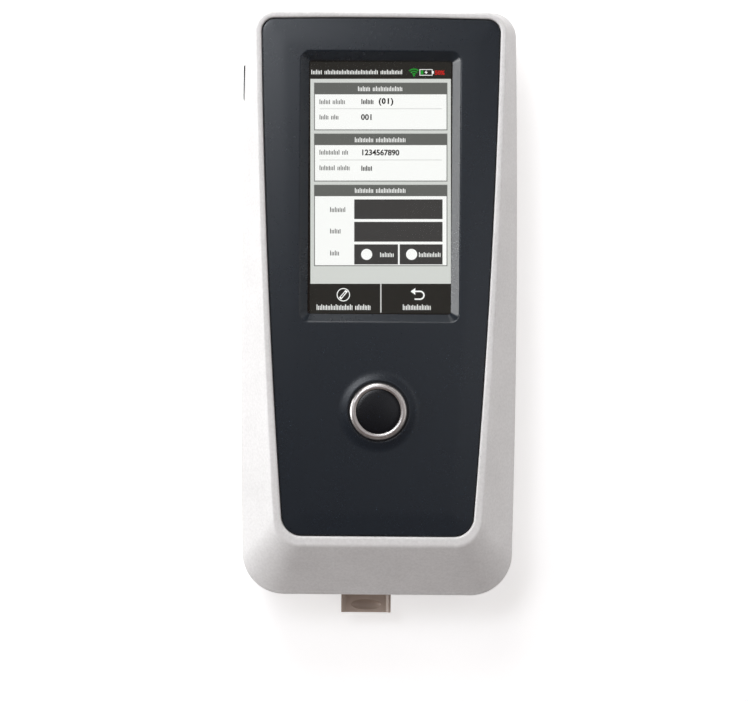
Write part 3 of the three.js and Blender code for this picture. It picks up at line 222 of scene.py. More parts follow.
def outline(shape, inset=0.0, corner_steps=14, side_steps=24, crown_steps=12, least=0.3):
    """Points of a tapered, bowed, round-cornered outline, anticlockwise from its lower right corner."""
    def side_x(y):
        share = (y - shape["bottom"]) / (shape["top"] - shape["bottom"])
        taper = (shape["wide_bottom"] + (shape["wide_top"] - shape["wide_bottom"]) * share) / 2
        return taper + shape["bow"] * (1 - (2 * share - 1) ** 2) - inset

    def crown_at(x):
        return shape["crown"] * (1 - (2 * x / shape["wide_top"]) ** 2)

    round_top = max(shape["round_top"] - inset, least)
    round_bottom = max(shape["round_bottom"] - inset, least)
    low_y = shape["bottom"] + inset + round_bottom
    high_y = shape["top"] - inset - round_top
    low_x = side_x(low_y) - round_bottom
    high_x = side_x(high_y) - round_top
    points = []

    def corner(x, y, radius, start):
        for turn in quarter(corner_steps):
            points.append((x + radius * math.cos(start + turn), y + radius * math.sin(start + turn)))

    corner(low_x, low_y, round_bottom, -math.pi / 2)
    for step in range(1, side_steps):
        y = low_y + (high_y - low_y) * step / side_steps
        points.append((side_x(y), y))
    corner(high_x, high_y + crown_at(high_x), round_top, 0)
    for step in range(1, crown_steps):
        x = high_x - 2 * high_x * step / crown_steps
        points.append((x, shape["top"] - inset + crown_at(x)))
    corner(-high_x, high_y + crown_at(high_x), round_top, math.pi / 2)
    for step in range(1, side_steps):
        y = high_y + (low_y - high_y) * step / side_steps
        points.append((-side_x(y), y))
    corner(-low_x, low_y, round_bottom, math.pi)
    return points


def level(points, height):
    """Flat points raised to a height, as one ring of a skin."""
    return [Vector((x, y, height)) for x, y in points]


def curve_between(start, bend, end, steps=6):
    """Rings along a soft curve from one ring to another, pulled towards a third."""
    rings = []
    for step in range(steps + 1):
        t = step / steps
        rings.append([
            a * (1 - t) ** 2 + b * 2 * t * (1 - t) + c * t**2 for a, b, c in zip(start, bend, end)
        ])
    return rings


def corners_of(mesh, ring):
    """New corners of a mesh at a ring of points in millimetres about the reader's middle."""
    return [mesh.verts.new((point * millimetre) + Vector((middle.x, middle.y, 0))) for point in ring]


def join(mesh, first, second):
    """A band of faces between two closed rings of corners."""
    for here in range(len(first)):
        after = (here + 1) % len(first)
        mesh.faces.new((first[here], first[after], second[after], second[here]))


def loft(name, rings, ends="open", extra=None):
    """A skin through rings of points, closed to a tube or capped if asked, and what a function adds to it."""
    mesh = bmesh.new()
    made = [corners_of(mesh, ring) for ring in rings]
    for first, second in zip(made, made[1:]):
        join(mesh, first, second)
    if ends == "tube":
        join(mesh, made[-1], made[0])
    if ends == "capped":
        mesh.faces.new(list(reversed(made[0])))
        mesh.faces.new(made[-1])
    if extra:
        extra(mesh, made[-1])
    return piece_of(name, mesh)


def weigh(piece):
    """Shading that keeps flat faces flat next to small rounded edges."""
    piece.modifiers.new("flat faces", "WEIGHTED_NORMAL").keep_sharp = True


side_edge = 0.5
chin_edge = 1.0
inner_edge = 0.9
corner_inset = 0.15
pocket_gap = 0.5
pocket_floor = 46.9
pocket_ledge = 3
deck_underside = 44.85
deck_share = 0.73
lower_edge = belt_height + parting_gap
belt_ring = level(outline(belt), lower_edge + seam_edge)
corner_ring = level(outline(rim, corner_inset), rim_height)
pocket_ring = level(outline(panel, -pocket_gap), rim_height)
slope_end, flat_start, flat_end = [], [], []
for foot, edge, pocket in zip(belt_ring, corner_ring, pocket_ring):
    outward = (edge - pocket).normalized()
    reach = side_edge + (chin_edge - side_edge) * max(-outward.y, 0)
    slope_end.append(edge + (foot - edge).normalized() * reach)
    flat_start.append(edge - outward * reach)
    flat_end.append(pocket + outward * inner_edge)
pocket_wall = level(outline(panel, -pocket_gap), rim_height - inner_edge)
deck = {key: belt[key] + (rim[key] - belt[key]) * deck_share for key in belt}
front_rings = [
    level(outline(belt, seam_edge), lower_edge),
    level(outline(belt, seam_bend), lower_edge + seam_bend),
    belt_ring,
    *curve_between(slope_end, corner_ring, flat_start),
    *curve_between(flat_end, pocket_ring, pocket_wall, 4),
    level(outline(panel, -pocket_gap), pocket_floor),
    level(outline(panel, pocket_ledge), pocket_floor),
    level(outline(panel, pocket_ledge), deck_underside),
    level(outline(deck, wall), deck_underside),
    level(outline(belt, wall), belt_height + notch_height),
    level(outline(belt, notch_inset), belt_height + notch_height),
    level(outline(belt, notch_inset), lower_edge),
]
front_cover = loft("front_cover", front_rings, "tube")
weigh(front_cover)
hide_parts("front_housing")
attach(front_cover, "reader_body")

# The moulded finish of every plastic piece: a fine spark-eroded grain with slow unevenness under it, and a
# mottle of the two for colour and roughness. Metals, sheets, foam and rubber have their own grain sizes.
grain_tree = bpy.data.node_groups.new("moulded grain", "ShaderNodeTree")
for label, size in (("Grain Size", 0.0003), ("Patch Size", 0.02)):
    socket = grain_tree.interface.new_socket(label, in_out="INPUT", socket_type="NodeSocketFloat")
    socket.default_value = size
for label in ("Height", "Patch", "Mottle"):
    grain_tree.interface.new_socket(label, in_out="OUTPUT", socket_type="NodeSocketFloat")
grain_in = grain_tree.nodes.new("NodeGroupInput")
grain_out = grain_tree.nodes.new("NodeGroupOutput")
place = grain_tree.nodes.new("ShaderNodeTexCoord")
mottle = grain_tree.nodes.new("ShaderNodeMix")
mottle.inputs["Factor"].default_value = 0.35
grain_tree.links.new(mottle.outputs["Result"], grain_out.inputs["Mottle"])
for size_name, detail, output_name, side in (
    ("Grain Size", 3, "Height", "A"),
    ("Patch Size", 2, "Patch", "B"),
):
    noise = grain_tree.nodes.new("ShaderNodeTexNoise")
    noise.inputs["Detail"].default_value = detail
    noise.inputs["Roughness"].default_value = 0.6
    grain_tree.links.new(place.outputs["Object"], noise.inputs["Vector"])
    grain_tree.links.new(maths(grain_tree, "DIVIDE", 1, grain_in.outputs[size_name]), noise.inputs["Scale"])
    grain_tree.links.new(noise.outputs["Fac"], grain_out.inputs[output_name])
    grain_tree.links.new(noise.outputs["Fac"], mottle.inputs[side])


def srgb(red, green, blue):
    """A linear colour from the 0 to 255 values in which colours are picked."""
    def linear(value):
        value /= 255
        return value / 12.92 if value <= 0.04045 else ((value + 0.055) / 1.055) ** 2.4
    return (linear(red), linear(green), linear(blue), 1)


def moulded(
    name, colour, mottle_colour, roughness,
    grain=0.0003, depth=0.00002, specular=0.5, metal=0.0, spread=0.04,
):
    """A solid finish: two close colours in a fine mottle, a roughness that follows them, and grain."""
    material = bpy.data.materials.new(name)
    material.use_nodes = True
    nodes, links = material.node_tree.nodes, material.node_tree.links
    shader = nodes["Principled BSDF"]
    shader.inputs["Metallic"].default_value = metal
    shader.inputs["Specular IOR Level"].default_value = specular
    grained = nodes.new("ShaderNodeGroup")
    grained.node_tree = grain_tree
    grained.inputs["Grain Size"].default_value = grain
    blend = nodes.new("ShaderNodeMix")
    blend.data_type = "RGBA"
    blend.inputs["A"].default_value = colour
    blend.inputs["B"].default_value = mottle_colour
    links.new(grained.outputs["Mottle"], blend.inputs["Factor"])
    links.new(blend.outputs["Result"], shader.inputs["Base Color"])
    uneven = nodes.new("ShaderNodeMapRange")
    uneven.inputs["To Min"].default_value = roughness - spread
    uneven.inputs["To Max"].default_value = roughness + spread
    links.new(grained.outputs["Mottle"], uneven.inputs["Value"])
    links.new(uneven.outputs["Result"], shader.inputs["Roughness"])
    bump = nodes.new("ShaderNodeBump")
    bump.inputs["Strength"].default_value = 0.6
    bump.inputs["Distance"].default_value = depth
    links.new(grained.outputs["Height"], bump.inputs["Height"])
    links.new(bump.outputs["Normal"], shader.inputs["Normal"])
    return material


white_plastic = moulded(
    "white plastic", srgb(250, 250, 250), srgb(206, 206, 205), 0.46, grain=0.001, depth=0.0001
)
front_cover.data.materials.append(white_plastic)

# Back housing: a white tub with a rounded back edge and a thin lip that closes the parting line. It is cut
# for the tray, the charging socket, the key, the door, the feet, the screws and the speaker.
back_height = 1.2
back_draft = 1
back_edge = 7
seam_start = 0.01
lip_inset = 1.25
lip_inner = wall - 0.1
lip_height = 1.5


def back_ring(reach, angle):
    """A ring of the rounded back edge, at a reach from the edge's centre and an angle from the side."""
    inset = back_draft + back_edge - reach * math.cos(angle)
    return level(outline(belt, inset), back_height + back_edge - reach * math.sin(angle))


back_shell = loft("back_shell", [
    *[back_ring(back_edge, angle) for angle in reversed(quarter(12))],
    level(outline(belt, seam_start), belt_height - seam_edge),
    level(outline(belt, seam_bend), belt_height - seam_bend),
    level(outline(belt, seam_edge), belt_height),
    level(outline(belt, lip_inset), belt_height),
    level(outline(belt, lip_inset), belt_height + lip_height),
    level(outline(belt, lip_inner), belt_height + lip_height),
    level(outline(belt, wall), belt_height),
    *[back_ring(back_edge - wall, angle) for angle in quarter(8)],
], "capped")


def add_box(mesh, low, high):
    """A plain box between two corners, added to a mesh."""
    for corner in bmesh.ops.create_cube(mesh, size=1)["verts"]:
        corner.co = Vector([(low[k] + high[k]) / 2 + corner.co[k] * (high[k] - low[k]) for k in range(3)])


def block(name, low, high, rounding=0.0):
    """A block between two corners, to cut or join with, with its upright edges rounded if asked."""
    mesh = bmesh.new()
    add_box(mesh, low, high)
    if rounding:
        upright = [edge for edge in mesh.edges if abs(edge.verts[0].co.z - edge.verts[1].co.z) > 1e-9]
        bmesh.ops.bevel(mesh, geom=upright, offset=rounding, segments=6, affect="EDGES", profile=0.5)
    return piece_of(name, mesh)


def drum(name, x, y, low, high, radius, steps=40):
    """A round cutting or joining post between two heights."""
    mesh = bmesh.new()
    bmesh.ops.create_cone(
        mesh, cap_ends=True, segments=steps, radius1=radius, radius2=radius, depth=high - low
    )
    bmesh.ops.translate(mesh, verts=mesh.verts, vec=(x, y, (low + high) / 2))
    return piece_of(name, mesh)


def rectangle(width, length, rounding, centre_y=0.0):
    """The outline of a plain round-cornered rectangle."""
    return dict(
        wide_top=width, wide_bottom=width, top=centre_y + length / 2, bottom=centre_y - length / 2,
        round_top=rounding, round_bottom=rounding, bow=0, crown=0,
    )


def bar_through(name, rings):
    """A solid bar through rings of points given in metres."""
    mesh = bmesh.new()
    made = [[mesh.verts.new(point) for point in ring] for ring in rings]
    for first, second in zip(made, made[1:]):
        join(mesh, first, second)
    mesh.faces.new(made[0])
    mesh.faces.new(made[-1])
    bmesh.ops.recalc_face_normals(mesh, faces=mesh.faces)
    return piece_of(name, mesh)


def round_bar(name, shape, spot, stations):
    """A bar along X with an outline in Y and Z, drawn in by an inset at each of its places along X."""
    return bar_through(name, [
        [
            (x, spot.y + far * millimetre, spot.z + wide * millimetre)
            for wide, far in outline(shape, inset, 12, 4, 2)
        ]
        for x, inset in stations
    ])


def carve(piece, tools, operation="DIFFERENCE"):
    """Joins pieces to a piece, or cuts them out of it, and leaves one plain mesh."""
    for tool in tools:
        change = piece.modifiers.new("carve", "BOOLEAN")
        change.operation = operation
        change.object = tool
        change.solver = "EXACT"
    piece.data = bpy.data.meshes.new_from_object(piece.evaluated_get(bpy.context.evaluated_depsgraph_get()))
    piece.modifiers.clear()
    piece.data.shade_smooth()
    piece.data.set_sharp_from_angle(angle=sharp_angle)
    for tool in tools:
        bpy.data.objects.remove(tool)


def middle_of(node):
    """The middle of a CAD node's box."""
    low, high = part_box(node)
    return (low + high) / 2


slip = 0.0003
past = 0.002
wall_reach = 0.006
tray_reach = 0.0055
under_back = -0.001
floor_top = 0.003
boss_radius = 0.0044
boss_top = 0.0315
well_radius = 0.003
well_top = 0.0257
foot_radius = 0.0058
foot_depth = 0.002
bosses = []
wells = []
for number in range(1, 7):
    spot = middle_of(f"case_screw_{number}")
    bosses.append(drum("boss", spot.x, spot.y, floor_top, boss_top, boss_radius))
    wells.append(drum("well", spot.x, spot.y, under_back, well_top, well_radius))
for number in range(1, 5):
    spot = middle_of(f"rubber_foot_{number}")
    wells.append(drum("foot well", spot.x, spot.y, under_back, foot_depth, foot_radius, 64))
carve(back_shell, bosses, "UNION")

tray_low, tray_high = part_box("cassette_tray")
tray_slot = block(
    "tray slot",
    (tray_low.x - slip, housing_low.y - past, tray_low.z - slip),
    (tray_high.x + slip, housing_low.y + tray_reach, tray_high.z + slip),
)
charge_low, charge_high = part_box("charging_socket")
charge_slot = block(
    "charge slot",
    (charge_low.x - slip, housing_high.y - wall_reach, charge_low.z - slip),
    (charge_high.x + slip, housing_high.y + past, charge_high.z + slip),
)
key_width = 4.2
key_length = 13.8
key_round = 2.05
key_gap = 0.3
key_slot = round_bar(
    "key slot",
    rectangle(key_width + 2 * key_gap, key_length + 2 * key_gap, key_round + key_gap),
    middle_of("power_key"),
    [(housing_low.x - past, 0), (housing_low.x + wall_reach, 0)],
)
door_low, door_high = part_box("battery_door")
door_tongue = 0.003
door_depth = 0.0034
door_round = 0.0043
door_slot = block(
    "door slot",
    (door_low.x - slip, door_low.y - slip, under_back),
    (door_high.x + slip, door_high.y - door_tongue + slip, door_depth),
    door_round,
)
speaker_spot = middle_of("speaker")
hole_radius = 0.0009
hole_circle = 0.0044
hole_top = 0.004
grille = [drum("grille", speaker_spot.x, speaker_spot.y, under_back, hole_top, hole_radius)]
for hole in range(6):
    angle = hole / 6 * math.tau
    x = speaker_spot.x + hole_circle * math.cos(angle)
    y = speaker_spot.y + hole_circle * math.sin(angle)
    grille.append(drum("grille", x, y, under_back, hole_top, hole_radius))
carve(back_shell, [*wells, tray_slot, key_slot, charge_slot, door_slot, *grille])
weigh(back_shell)
back_shell.data.materials.clear()
back_shell.data.materials.append(white_plastic)
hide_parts("back_housing")
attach(back_shell, "reader_body")

# Front panel: a satin dark grey moulding let into the rim, with a sloped recess round the screen and a soft
# swell round the button. Its face falls off faintly towards the edge.
panel_height = 49.4
screen_centre = 43.55
window_width = 54.2
window_length = 95.9
window_round = 1.2
recess_depth = 3
mouth_round = 3.6
mouth_edge = 0.5
window = rectangle(window_width, window_length, window_round, screen_centre)
mouth = rectangle(
    window_width + 2 * recess_depth, window_length + 2 * recess_depth, mouth_round, screen_centre
)
mouth_soft = mouth_edge * 0.7
window_side = 0.1
recess_rings = [
    *curve_between(
        level(outline(mouth, -mouth_edge), panel_height),
        level(outline(mouth), panel_height),
        level(outline(mouth, mouth_soft), panel_height - mouth_soft),
    ),
    level(outline(window), panel_height - recess_depth),
    level(outline(window), panel_height - recess_depth - window_side),
]

button_centre = -41.0
swell_foot = 15.8
swell_bend = 13.7
swell_slope = 0.15
swell_steps = 10
groove_outer = 11.5
groove_inner = 9.95
groove_floor = panel_height - 1.2
bore_end = panel_height - 2
swell_rings = []
for step in range(swell_steps + 1):
    radius = swell_foot - (swell_foot - swell_bend) * step / swell_steps
    rise = swell_slope * (swell_foot - radius) ** 2 / (2 * (swell_foot - swell_bend))
    swell_rings.append((radius, panel_height + rise))
for radius in (13.2, 12.7, 12.2, 11.75):
    swell_rings.append((radius, panel_height + swell_slope * ((swell_foot + swell_bend) / 2 - radius)))
swell_top = swell_rings[-1][1]
for outward, down in ((0.12, 0.02), (0.03, 0.08), (0, 0.18)):
    swell_rings.append((groove_outer + outward, swell_top - down))
swell_rings += [(groove_outer, groove_floor), (groove_inner, groove_floor), (groove_inner, bore_end)]


def circle(radius, height):
    """A ring of points round the button's axis."""
    points = []
    for step in range(round_steps):
        angle = step / round_steps * math.tau
        points.append(Vector((radius * math.cos(angle), button_centre + radius * math.sin(angle), height)))
    return points


def add_panel_face(mesh, edge):
    """Adds the recess and the swell, and closes the flat face between them and the panel's sloped edge."""
    recess = [corners_of(mesh, ring) for ring in recess_rings]
    swell = [corners_of(mesh, circle(radius, height)) for radius, height in swell_rings]
    for rings in (recess, swell):
        for first, second in zip(rings, rings[1:]):
            join(mesh, first, second)
    loops = [edge, recess[0], swell[0]]
    corners = [vertex for loop in loops for vertex in loop]
    for triangle in geometry.tessellate_polygon([[vertex.co for vertex in loop] for loop in loops]):
        a, b, c = (corners[index] for index in triangle)
        if (b.co - a.co).cross(c.co - a.co).z < 0:
            b, c = c, b
        mesh.faces.new((a, b, c))


panel_edge = 0.25
panel_slope = 0.024
fall_width = 9.4
fall_bend = 0.3
fall_steps = 10
flange_underside = panel_height - 2.2
flange_top = panel_height - 1.7
flange_inset = 0.1 - pocket_gap


def fall_at(inset):
    """How far the face lies below the panel's middle: a straight slope with a soft bend at its inner end."""
    left = 1 - inset / fall_width
    if left > fall_bend:
        return panel_slope * fall_width * (left - fall_bend / 2)
    return panel_slope * fall_width * left**2 / (2 * fall_bend)


edge_height = panel_height - fall_at(0)
panel_rings = [
    level(outline(panel, pocket_ledge), flange_underside),
    level(outline(panel, flange_inset), flange_underside),
    level(outline(panel, flange_inset), flange_top),
    level(outline(panel), flange_top),
    *curve_between(
        level(outline(panel), edge_height - panel_edge),
        level(outline(panel), edge_height),
        level(outline(panel, panel_edge), panel_height - fall_at(panel_edge)),
        5,
    ),
]
for step in range(1, fall_steps + 1):
    inset = panel_edge + (fall_width - panel_edge) * step / fall_steps
    panel_rings.append(level(outline(panel, inset, least=1.5), panel_height - fall_at(inset)))
dark_panel = loft("dark_panel", panel_rings, extra=add_panel_face)
weigh(dark_panel)
panel_plastic = moulded(
    "panel plastic", srgb(22, 31, 40), srgb(19, 28, 37), 0.28, grain=0.001, depth=0.00001, spread=0.03
)
dark_panel.data.materials.append(panel_plastic)
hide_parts("front_panel")
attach(dark_panel, "reader_body")

# Cover glass: a clear sheet with rounded corners, laid on the display and pressed from behind against the
# foam gasket round the panel's window.
glass_round = 0.002
glass_low, glass_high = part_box("cover_glass")
glass_sheet = block("glass_sheet", glass_low, glass_high, glass_round)
clear_glass = bpy.data.materials.new("clear glass")
clear_glass.use_nodes = True
nodes, links = clear_glass.node_tree.nodes, clear_glass.node_tree.links
shader = nodes["Principled BSDF"]
shader.inputs["Base Color"].default_value = (0.97, 0.985, 0.98, 1)
shader.inputs["Transmission Weight"].default_value = 1
shader.inputs["IOR"].default_value = 1.5
smear = nodes.new("ShaderNodeGroup")
smear.node_tree = grain_tree
smear.inputs["Patch Size"].default_value = 0.03
smear_range = nodes.new("ShaderNodeMapRange")
smear_range.inputs["To Min"].default_value = 0
smear_range.inputs["To Max"].default_value = 0.05
links.new(smear.outputs["Patch"], smear_range.inputs["Value"])
links.new(smear_range.outputs["Result"], shader.inputs["Roughness"])
glass_sheet.data.materials.append(clear_glass)
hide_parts("cover_glass")
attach(glass_sheet, "reader_body")

# Lit screen: a dark display cell whose picture is laid out in thin flat shapes of light, measured in
# millimetres from the upper left corner of the lit area.
screen_width = 53.5
screen_length = 95.2
screen_shift = 0.2
picture_depth = 0.0003
layer_step = 0.00002
cell_low, cell_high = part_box("display_cell")


def lit(name, colour):
    """A lit colour of the display, with the slight unevenness of a backlight."""
    material = bpy.data.materials.new(name)
    material.use_nodes = True
    nodes, links = material.node_tree.nodes, material.node_tree.links
    shader = nodes["Principled BSDF"]
    shader.inputs["Base Color"].default_value = (0.004, 0.004, 0.004, 1)
    shader.inputs["Roughness"].default_value = 0.6
    shader.inputs["Specular IOR Level"].default_value = 0
    shader.inputs["Emission Strength"].default_value = 1.1
    uneven = nodes.new("ShaderNodeGroup")
    uneven.node_tree = grain_tree
    uneven.inputs["Patch Size"].default_value = 0.05
    blend = nodes.new("ShaderNodeMix")
    blend.data_type = "RGBA"
    blend.inputs["A"].default_value = [part * 0.97 for part in colour[:3]] + [1]
    blend.inputs["B"].default_value = colour
    links.new(uneven.outputs["Patch"], blend.inputs["Factor"])
    links.new(blend.outputs["Result"], shader.inputs["Emission Color"])
    return material


inks = {
    "unlit": lit("unlit cell", (0.002, 0.002, 0.002, 1)),
    "header": lit("header grey", srgb(34, 35, 33)),
    "ground": lit("ground grey", srgb(212, 214, 210)),
    "title": lit("title grey", srgb(99, 101, 98)),
    "white": lit("box white", srgb(252, 252, 250)),
    "rule": lit("rule grey", srgb(212, 212, 210)),
    "frame": lit("frame grey", srgb(118, 120, 117)),
    "field": lit("field grey", srgb(61, 61, 61)),
    "label": lit("label grey", srgb(52, 52, 51)),
    "ink": lit("number ink", srgb(8, 8, 8)),
    "green": lit("signal green", srgb(24, 150, 44)),
    "red": lit("level red", srgb(190, 30, 26)),
}
ink_slot = {name: number for number, name in enumerate(inks)}
picture = bmesh.new()


def on_screen(x, y, layer):
    """A point of the picture, from its distance to the lit area's left and upper edges."""
    across = x - screen_width / 2
    along = screen_length / 2 - y
    turned_x = across * math.cos(picture_turn) - along * math.sin(picture_turn) + screen_shift
    turned_y = across * math.sin(picture_turn) + along * math.cos(picture_turn)
    return Vector((
        middle.x + turned_x * millimetre,
        middle.y + (screen_centre + turned_y) * millimetre,
        cell_high.z - picture_depth + layer * layer_step,
    ))


def draw(ink, layer, points):
    """A flat shape of one ink, with a higher layer over a lower one."""
    face = picture.faces.new([picture.verts.new(on_screen(x, y, layer)) for x, y in points])
    face.normal_update()
    if face.normal.z < 0:
        face.normal_flip()
    face.material_index = ink_slot[ink]


def bar(ink, layer, left, upper, right, lower):
    """A rectangle between its four edges."""
    draw(ink, layer, [(left, lower), (right, lower), (right, upper), (left, upper)])


def disc(ink, layer, x, y, radius, steps=40):
    """A round spot about its middle."""
    angles = [step / steps * math.tau for step in range(steps)]
    draw(ink, layer, [(x + radius * math.cos(angle), y + radius * math.sin(angle)) for angle in angles])


def arc(ink, layer, x, y, radius, width, start, end, steps=24):
    """A stroke along part of a circle, with its angles in degrees."""
    inner = radius - width / 2
    outer = radius + width / 2
    for step in range(steps):
        first = math.radians(start + (end - start) * step / steps)
        second = math.radians(start + (end - start) * (step + 1) / steps)
        draw(ink, layer, [
            (x + reach * math.cos(angle), y - reach * math.sin(angle))
            for reach, angle in ((inner, first), (outer, first), (outer, second), (inner, second))
        ])


keys_top = 84.0
bar("header", 1, 0, 0, screen_width, screen_length)
bar("ground", 2, 0.25, 6.55, screen_width - 0.15, keys_top)

# Three framed boxes with title bars, the thin rules between their lines, and the fields and round marks of
# the lowest box.
box_left = 1.6
box_right = 52.05
frame_line = 0.35
title_inset = 0.2
rule_left = 3.7
rule_right = 49.9
rule_half = 0.13
field_left = 16.8
field_right = 50.2
for upper, title_end, lower in ((7.95, 12.4, 26.0), (27.2, 31.6, 45.35), (46.55, 50.9, 77.35)):
    bar("frame", 3, box_left, upper, box_right, lower)
    bar("white", 4, box_left + frame_line, title_end, box_right - frame_line, lower - frame_line)
    bar("title", 4, box_left + title_inset, upper + title_inset, box_right - title_inset, title_end)
for y in (17.85, 37.2):
    bar("rule", 5, rule_left, y - rule_half, rule_right, y + rule_half)
for left, upper, right, lower in (
    (field_left, 52.1, field_right, 59.55),
    (field_left, 60.6, field_right, 68.1),
    (field_left, 69.1, 33.35, 76.7),
    (34.0, 69.1, field_right, 76.7),
):
    bar("field", 5, left, upper, right, lower)
for x in (21.5, 38.5):
    disc("white", 6, x, 72.9, 2.1)

# The two keys under the boxes: a line between them, a round test mark on the left one and a return arrow on
# the right one.
bar("rule", 5, 26.65, keys_top, 27.1, 94.9)
arc("white", 5, 12.7, 88.15, 2.35, 0.33, 0, 360, 48)
draw("white", 5, [(11.0, 89.35), (11.85, 90.0), (14.4, 86.95), (13.55, 86.3)])
draw("header", 6, [(11.7, 89.0), (12.0, 89.25), (13.6, 87.35), (13.3, 87.1)])
bar("white", 5, 39.4, 86.6, 41.7, 87.15)
arc("white", 5, 41.7, 88.35, 1.47, 0.55, 90, -90)
bar("white", 5, 39.6, 89.55, 41.7, 90.1)
draw("white", 5, [(38.1, 86.9), (39.9, 85.6), (39.9, 88.2)])

# The header's signal mark, and its battery mark with a level and a charging bolt.
for radius in (0.9, 1.75, 2.6):
    arc("green", 5, 39.4, 5.45, radius, 0.42, 48, 132, 12)
disc("green", 5, 39.4, 5.25, 0.38)
bar("white", 5, 41.5, 2.9, 46.4, 5.3)
bar("header", 6, 41.75, 3.13, 46.15, 5.07)
bar("white", 5, 46.4, 3.6, 46.9, 4.6)
bar("green", 7, 41.95, 3.3, 42.9, 4.9)
draw("white", 8, [(44.2, 3.2), (43.35, 4.25), (43.95, 4.25), (43.75, 5.0), (44.6, 3.95), (44.0, 3.95)])

# Placeholder lines stand where a reader would show words: a run of fine upright ticks for each word, given
# by its width.
tick = 0.3
bold_tick = 0.38
tick_pitch = 0.6
tick_heights = (1.0, 0.74, 0.74, 0.9, 0.74, 0.74, 1.0, 0.74, 0.82)
word_gap = 1.1
text_height = 1.85
title_middle = 26.9
label_left = 3.7
field_label_left = 7.7
value_left = 19.5
key_base = 93.9


def greek(ink, layer, left, base, height, words, stroke=tick):
    """A line of placeholder words on a base line."""
    x = left
    for number, width in enumerate(words):
        for step in range(round(width / tick_pitch)):
            tall = height * tick_heights[(step * 2 + number * 5) % len(tick_heights)]
            bar(ink, layer, x, base - tall, x + stroke, base)
            x += tick_pitch
        x += word_gap - (tick_pitch - tick)


greek("white", 5, 0.6, 4.8, 1.7, (4.2, 20.4, 8.4))
for base, words in ((11.2, (4.8, 11.4)), (30.5, (7.2, 11.4)), (49.65, (7.2, 11.4))):
    title_width = sum(words) + word_gap * (len(words) - 1)
    greek("white", 5, title_middle - title_width / 2, base, text_height, words)
for base, words in ((16.1, (4.2, 4.8)), (21.9, (3.6, 3.0)), (35.2, (7.8, 2.4)), (41.1, (6.0, 4.8))):
    greek("label", 5, label_left, base, text_height, words)
for base, width in ((56.9, 6.0), (65.0, 4.2), (73.3, 3.6)):
    greek("label", 5, field_label_left, base, text_height, (width,))
for base, width in ((16.1, 4.8), (41.3, 4.2)):
    greek("ink", 5, value_left, base, 1.95, (width,), bold_tick)
for left, width in ((26.6, 5.4), (41.3, 8.4)):
    greek("white", 6, left, 73.9, 1.8, (width,))
for left, words in ((2.6, (13.8, 6.0)), (35.2, (10.8,))):
    greek("white", 5, left, key_base, 2.1, words)

# The cell under the picture takes the first ink, the unlit one.
cell_top = cell_high - Vector((0, 0, picture_depth + layer_step))
add_box(picture, cell_low, cell_top)
lit_screen = piece_of("lit_screen", picture)
for material in inks.values():
    lit_screen.data.materials.append(material)
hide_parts("display_cell")
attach(lit_screen, "reader_body")

# Numbers on the screen: two counters, a number in brackets and the battery's level in per cent, as flat
# shapes of light above the rest of the picture.
figure_share = 1.38
top_layer = 9


def numbers(name, text, left, base, height, ink, spacing, weight):
    """A piece of plain figures, given by their height, spacing and weight."""
    curve = bpy.data.curves.new(name, "FONT")
    curve.body = text
    curve.size = height * millimetre * figure_share
    curve.resolution_u = 3
    curve.space_character = spacing
    curve.offset = height * millimetre * weight
    drawn = bpy.data.objects.new(name, curve)
    bpy.context.collection.objects.link(drawn)
    flat = bpy.data.meshes.new_from_object(drawn.evaluated_get(bpy.context.evaluated_depsgraph_get()))
    bpy.data.objects.remove(drawn)
    corner = on_screen(left, base, top_layer)
    for vertex in flat.vertices:
        vertex.co = Vector((vertex.co.x, vertex.co.y, 0)) + corner
    flat.materials.clear()
    flat.materials.append(inks[ink])
    piece = bpy.data.objects.new(name, flat)
    bpy.context.collection.objects.link(piece)
    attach(piece, "reader_body")


numbers("item_number", "(01)", 26.0, 15.9, 2.1, "ink", 1.2, 0.06)
numbers("lot_number", "001", 19.35, 22.0, 2.15, "ink", 1.02, 0.04)
numbers("sample_number", "1234567890", 19.3, 35.35, 2.15, "ink", 0.98, 0.04)
numbers("level_number", "50%", 47.25, 4.95, 1.6, "red", 1.0, 0.06)

# Ring of the round button: turned from metal and polished, with a rounded outer side and a softly sloped
# inner one. Its stem goes down through the panel.
ring_low, ring_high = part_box("button_ring")
ring_spot = (ring_low + ring_high) / 2
ring_foot = groove_floor * millimetre
ring_hole = 0.0089
ring_stem = 0.0097
ring_outer = 0.01075
ring_crest = 0.00935
ring_inner = 0.00846
outer_fall = 0.0012
inner_round = 0.002
inner_turn = math.radians(25)
ring_lip = ring_high.z - 0.00026
ring_step = ring_high.z - 0.0027
ring_profile = [
    (ring_hole, ring_low.z),
    (ring_stem, ring_low.z),
    (ring_stem, ring_foot),
    (ring_outer, ring_foot),
]
for angle in quarter(14):
    across = ring_crest + (ring_outer - ring_crest) * math.cos(angle)
    ring_profile.append((across, ring_high.z - outer_fall * (1 - math.sin(angle))))
for step in range(1, 7):
    angle = inner_turn * step / 6
    across = ring_crest - inner_round * math.sin(angle)
    ring_profile.append((across, ring_high.z - inner_round * (1 - math.cos(angle))))
ring_profile += [
    (ring_inner, ring_lip),
    (ring_inner, ring_step),
    (ring_hole, ring_step),
    (ring_hole, ring_low.z),
]
button_bezel = turned("button_bezel", ring_profile, (ring_spot.x, ring_spot.y))
bright_metal = moulded(
    "bright metal", (0.58, 0.56, 0.55, 1), (0.53, 0.515, 0.505, 1), 0.36,
    grain=0.0004, depth=0.000002, metal=1,
)
button_bezel.data.materials.append(bright_metal)
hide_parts("button_ring")
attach(button_bezel, "reader_body")

